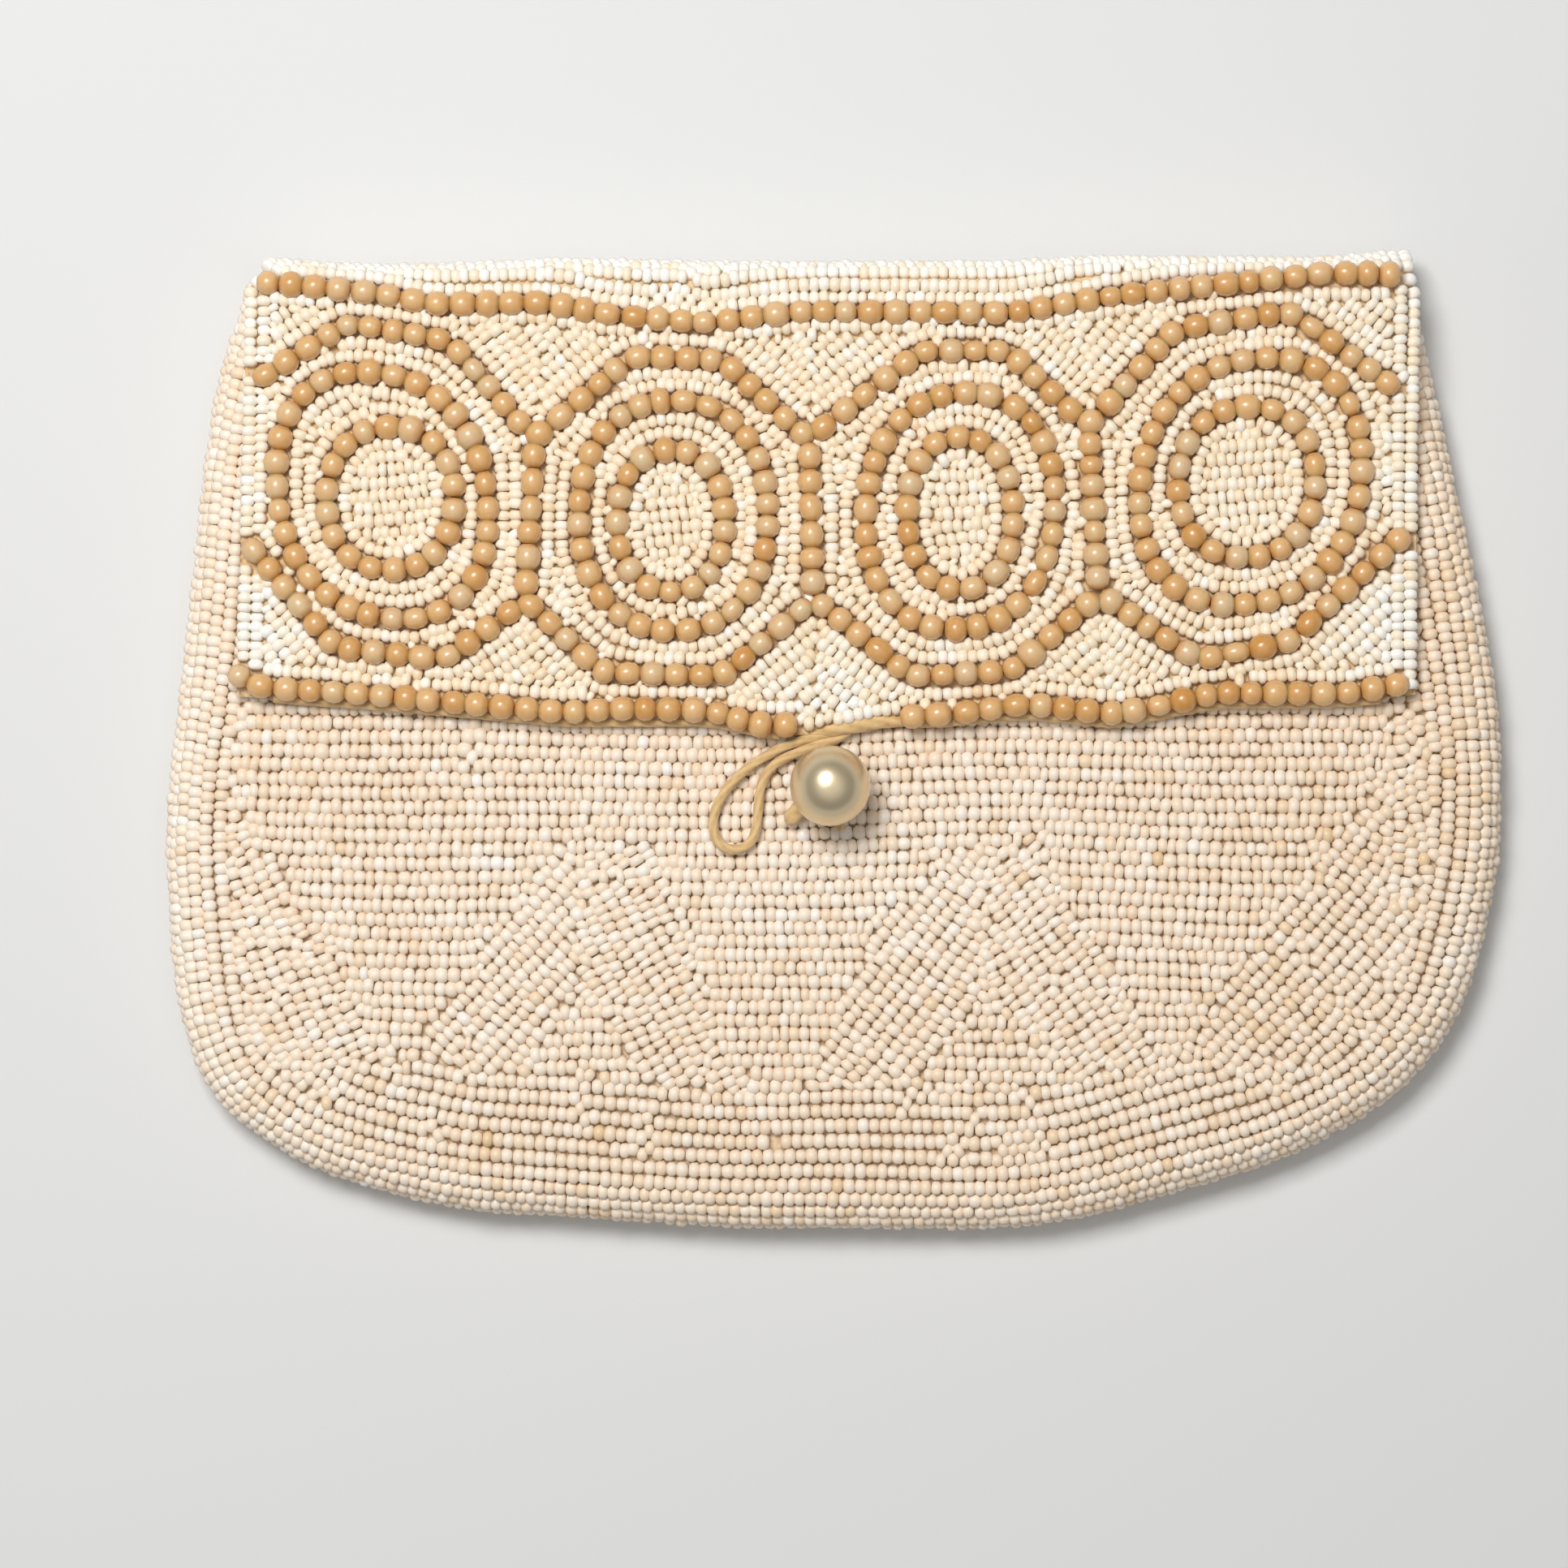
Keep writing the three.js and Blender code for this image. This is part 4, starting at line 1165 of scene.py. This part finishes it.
def edge_rows(edge, seed, numbers):
    """Rows that follow the pouch's edge, by their number in from the seam. Those further in wander together,
    by a slow wave."""
    rows = []
    for number in numbers:
        path = edge_path(edge, EDGE_START + seed["row"] * number)
        wave = WANDER * min(number / 4, 1) * np.sin(np.arange(len(path)) / 14 + 0.3 * number)
        rows.append(rows_along(beside(path, wave[:, None]), seed))
    return np.vstack(rows)


front_rows = edge_rows(FRONT_EDGE, EDGE_SEED, range(SIDE_ROWS))
edge_count = len(front_rows)
low_rows = edge_rows(FRONT_EDGE, EDGE_SEED, range(SIDE_ROWS, LOW_ROWS))
low_rows = low_rows[(low_rows[:, 1] < LOW_SPAN) & (np.abs(np.sin(low_rows[:, 2])) < LOW_SLOPE)]
front_rows = add_rows(front_rows, low_rows, FRONT_ROOM["rows"])
right_rows = edge_rows(FRONT_EDGE, EDGE_SEED, range(SIDE_ROWS, RIGHT_ROWS))
in_span = (right_rows[:, 1] > RIGHT_SPAN[0]) & (right_rows[:, 1] < RIGHT_SPAN[1])
front_rows = add_rows(front_rows, right_rows[(right_rows[:, 0] > 0) & in_span], FRONT_ROOM["rows"])
for degrees, corners in [*FIELDS.values(), (0, LEVEL_FIELD)]:
    rows = rows_over(corners, degrees, BODY_SEED)
    front_rows = add_rows(front_rows, rows[in_view(rows)], FRONT_ROOM["rows"])
front_rows = fill_holes(front_rows, in_view, POUCH_BOX, BODY_SEED, FRONT_ROOM["fill"])
front_rows = settle(front_rows, np.arange(len(front_rows)) < edge_count)
front_rows = fill_holes(front_rows, in_view, POUCH_BOX, smaller(BODY_SEED), FRONT_ROOM["small"])
front_rows = np.delete(front_rows, distances(BARE_SPOT, front_rows).argmin(1), axis=0)
body_glass = seed_finish("ivory_seeds", [
    (0.0, (0.82, 0.61, 0.37)), (0.35, (0.89, 0.73, 0.56)),
    (0.7, (0.92, 0.81, 0.68)), (1.0, (0.94, 0.89, 0.82)),
])
front_beads = tones(set_on(front_face, front_rows, -SEED_SINK), front_rows, 0.55, FRONT_PATCHES)
dress_halves("front_seeds", front_beads, front_rows, SEED_DETAIL, body_glass)

# Seed beads on the back
BACK_ROOM = {"rows": 0.65, "fill": 0.75}
BACK_ROWS = 4


def on_back(places):
    """True for places inside the rows that follow the back's edge."""
    distance, _ = nearest_seam(places[:, 0], places[:, 1])
    return (distance > BACK_INNER) & (places[:, 1] < MOUTH_UP - 1)


back_rows = edge_rows(BACK_EDGE, BACK_SEED, range(BACK_ROWS))
edge_count = len(back_rows)
rows = rows_over(LEVEL_FIELD, 0, BACK_SEED)
back_rows = add_rows(back_rows, rows[on_back(rows)], BACK_ROOM["rows"])
back_rows = fill_holes(back_rows, on_back, POUCH_BOX, BACK_SEED, BACK_ROOM["fill"])
back_rows = settle(back_rows, np.arange(len(back_rows)) < edge_count)
back_beads = tones(set_on(back_face, back_rows, -SEED_SINK), back_rows, 0.5, [])
dress_halves("back_seeds", back_beads, back_rows, BACK_DETAIL, body_glass)


def pearl_mesh(name, centre, diameter):
    """A ball of rings from pole to pole, u round it and v up it, whose radius is a little uneven:
    diameter / 2·(1 + 0.004·cos 2v + 0.003·cos(3u + v)·cos v)."""
    around, bands = 64, 40
    u = np.arange(around) * 2 * np.pi / around
    v = np.linspace(-np.pi / 2, np.pi / 2, bands + 1)[1:-1, None]
    radius = diameter / 2 * (1 + 0.004 * np.cos(2 * v) + 0.003 * np.cos(3 * u + v) * np.cos(v))
    level = radius * np.cos(v)
    rings = np.stack([level * np.cos(u), level * np.sin(u), radius * np.sin(v)], -1)
    poles = np.array([(0, 0, -diameter / 2), (0, 0, diameter / 2)])
    points = np.vstack([rings.reshape(-1, 3), poles]) + centre
    return made_mesh(name, points, *ring_faces(bands - 1, around))


# The pearl button
pearl_low, pearl_high = (np.array(corner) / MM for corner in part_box("pearl_button"))
pearl = pearl_mesh("pearl_ball", (pearl_low + pearl_high) / 2, PEARL_DIAMETER)
dressed(pearl, pearl_finish(), "pearl", "pearl_button")


# Floor and light
FLOOR_HALF = 2500
floor_points = [(*corner, 0) for corner in box_corners(-FLOOR_HALF, -FLOOR_HALF, FLOOR_HALF, FLOOR_HALF)]
floor = made_mesh("floor", np.array(floor_points, float), np.arange(4), np.array([4]))
floor_paint = Finish("pale_floor", base_color=(0.72, 0.72, 0.71, 1), roughness=0.7)
floor.data.materials.append(floor_paint.material)


def softbox(name, place, wide, high, power):
    """A lamp of that width and height that faces the clutch."""
    lamp_data = bpy.data.lights.new(name, "AREA")
    lamp_data.shape = "RECTANGLE"
    lamp_data.size = wide
    lamp_data.size_y = high
    lamp_data.energy = power
    lamp = bpy.data.objects.new(name, lamp_data)
    lamp.location = place
    bpy.context.scene.collection.objects.link(lamp)
    toward = lamp.location.normalized()
    lamp.rotation_mode = "QUATERNION"
    lamp.rotation_quaternion = toward.to_track_quat("Z", "Y")


softbox("key_light", place=(-0.18, 0.27, 0.71), wide=0.28, high=0.24, power=4.55)

# The room: how bright it is, by the height of the way to it
SKY = [(0.18, 0.62), (0.3, 0.1), (0.66, 0.14), (0.95, 0.78)]
world = bpy.data.worlds.new("room")
world.use_nodes = True
room = world.node_tree
sky_place = room.nodes.new("ShaderNodeTexCoord")
sky_height = room.nodes.new("ShaderNodeSeparateXYZ")
sky_tone = room.nodes.new("ShaderNodeValToRGB")
sky_tone.color_ramp.elements.new(0.4)
sky_tone.color_ramp.elements.new(0.6)
for element, (height, shade) in zip(sky_tone.color_ramp.elements, SKY):
    element.position = height
    element.color = (shade, shade, shade, 1)
room.links.new(sky_place.outputs["Generated"], sky_height.inputs["Vector"])
room.links.new(sky_height.outputs["Z"], sky_tone.inputs["Fac"])
room.links.new(sky_tone.outputs["Color"], room.nodes["Background"].inputs["Color"])
bpy.context.scene.world = world
bpy.context.scene.view_settings.view_transform = "Standard"
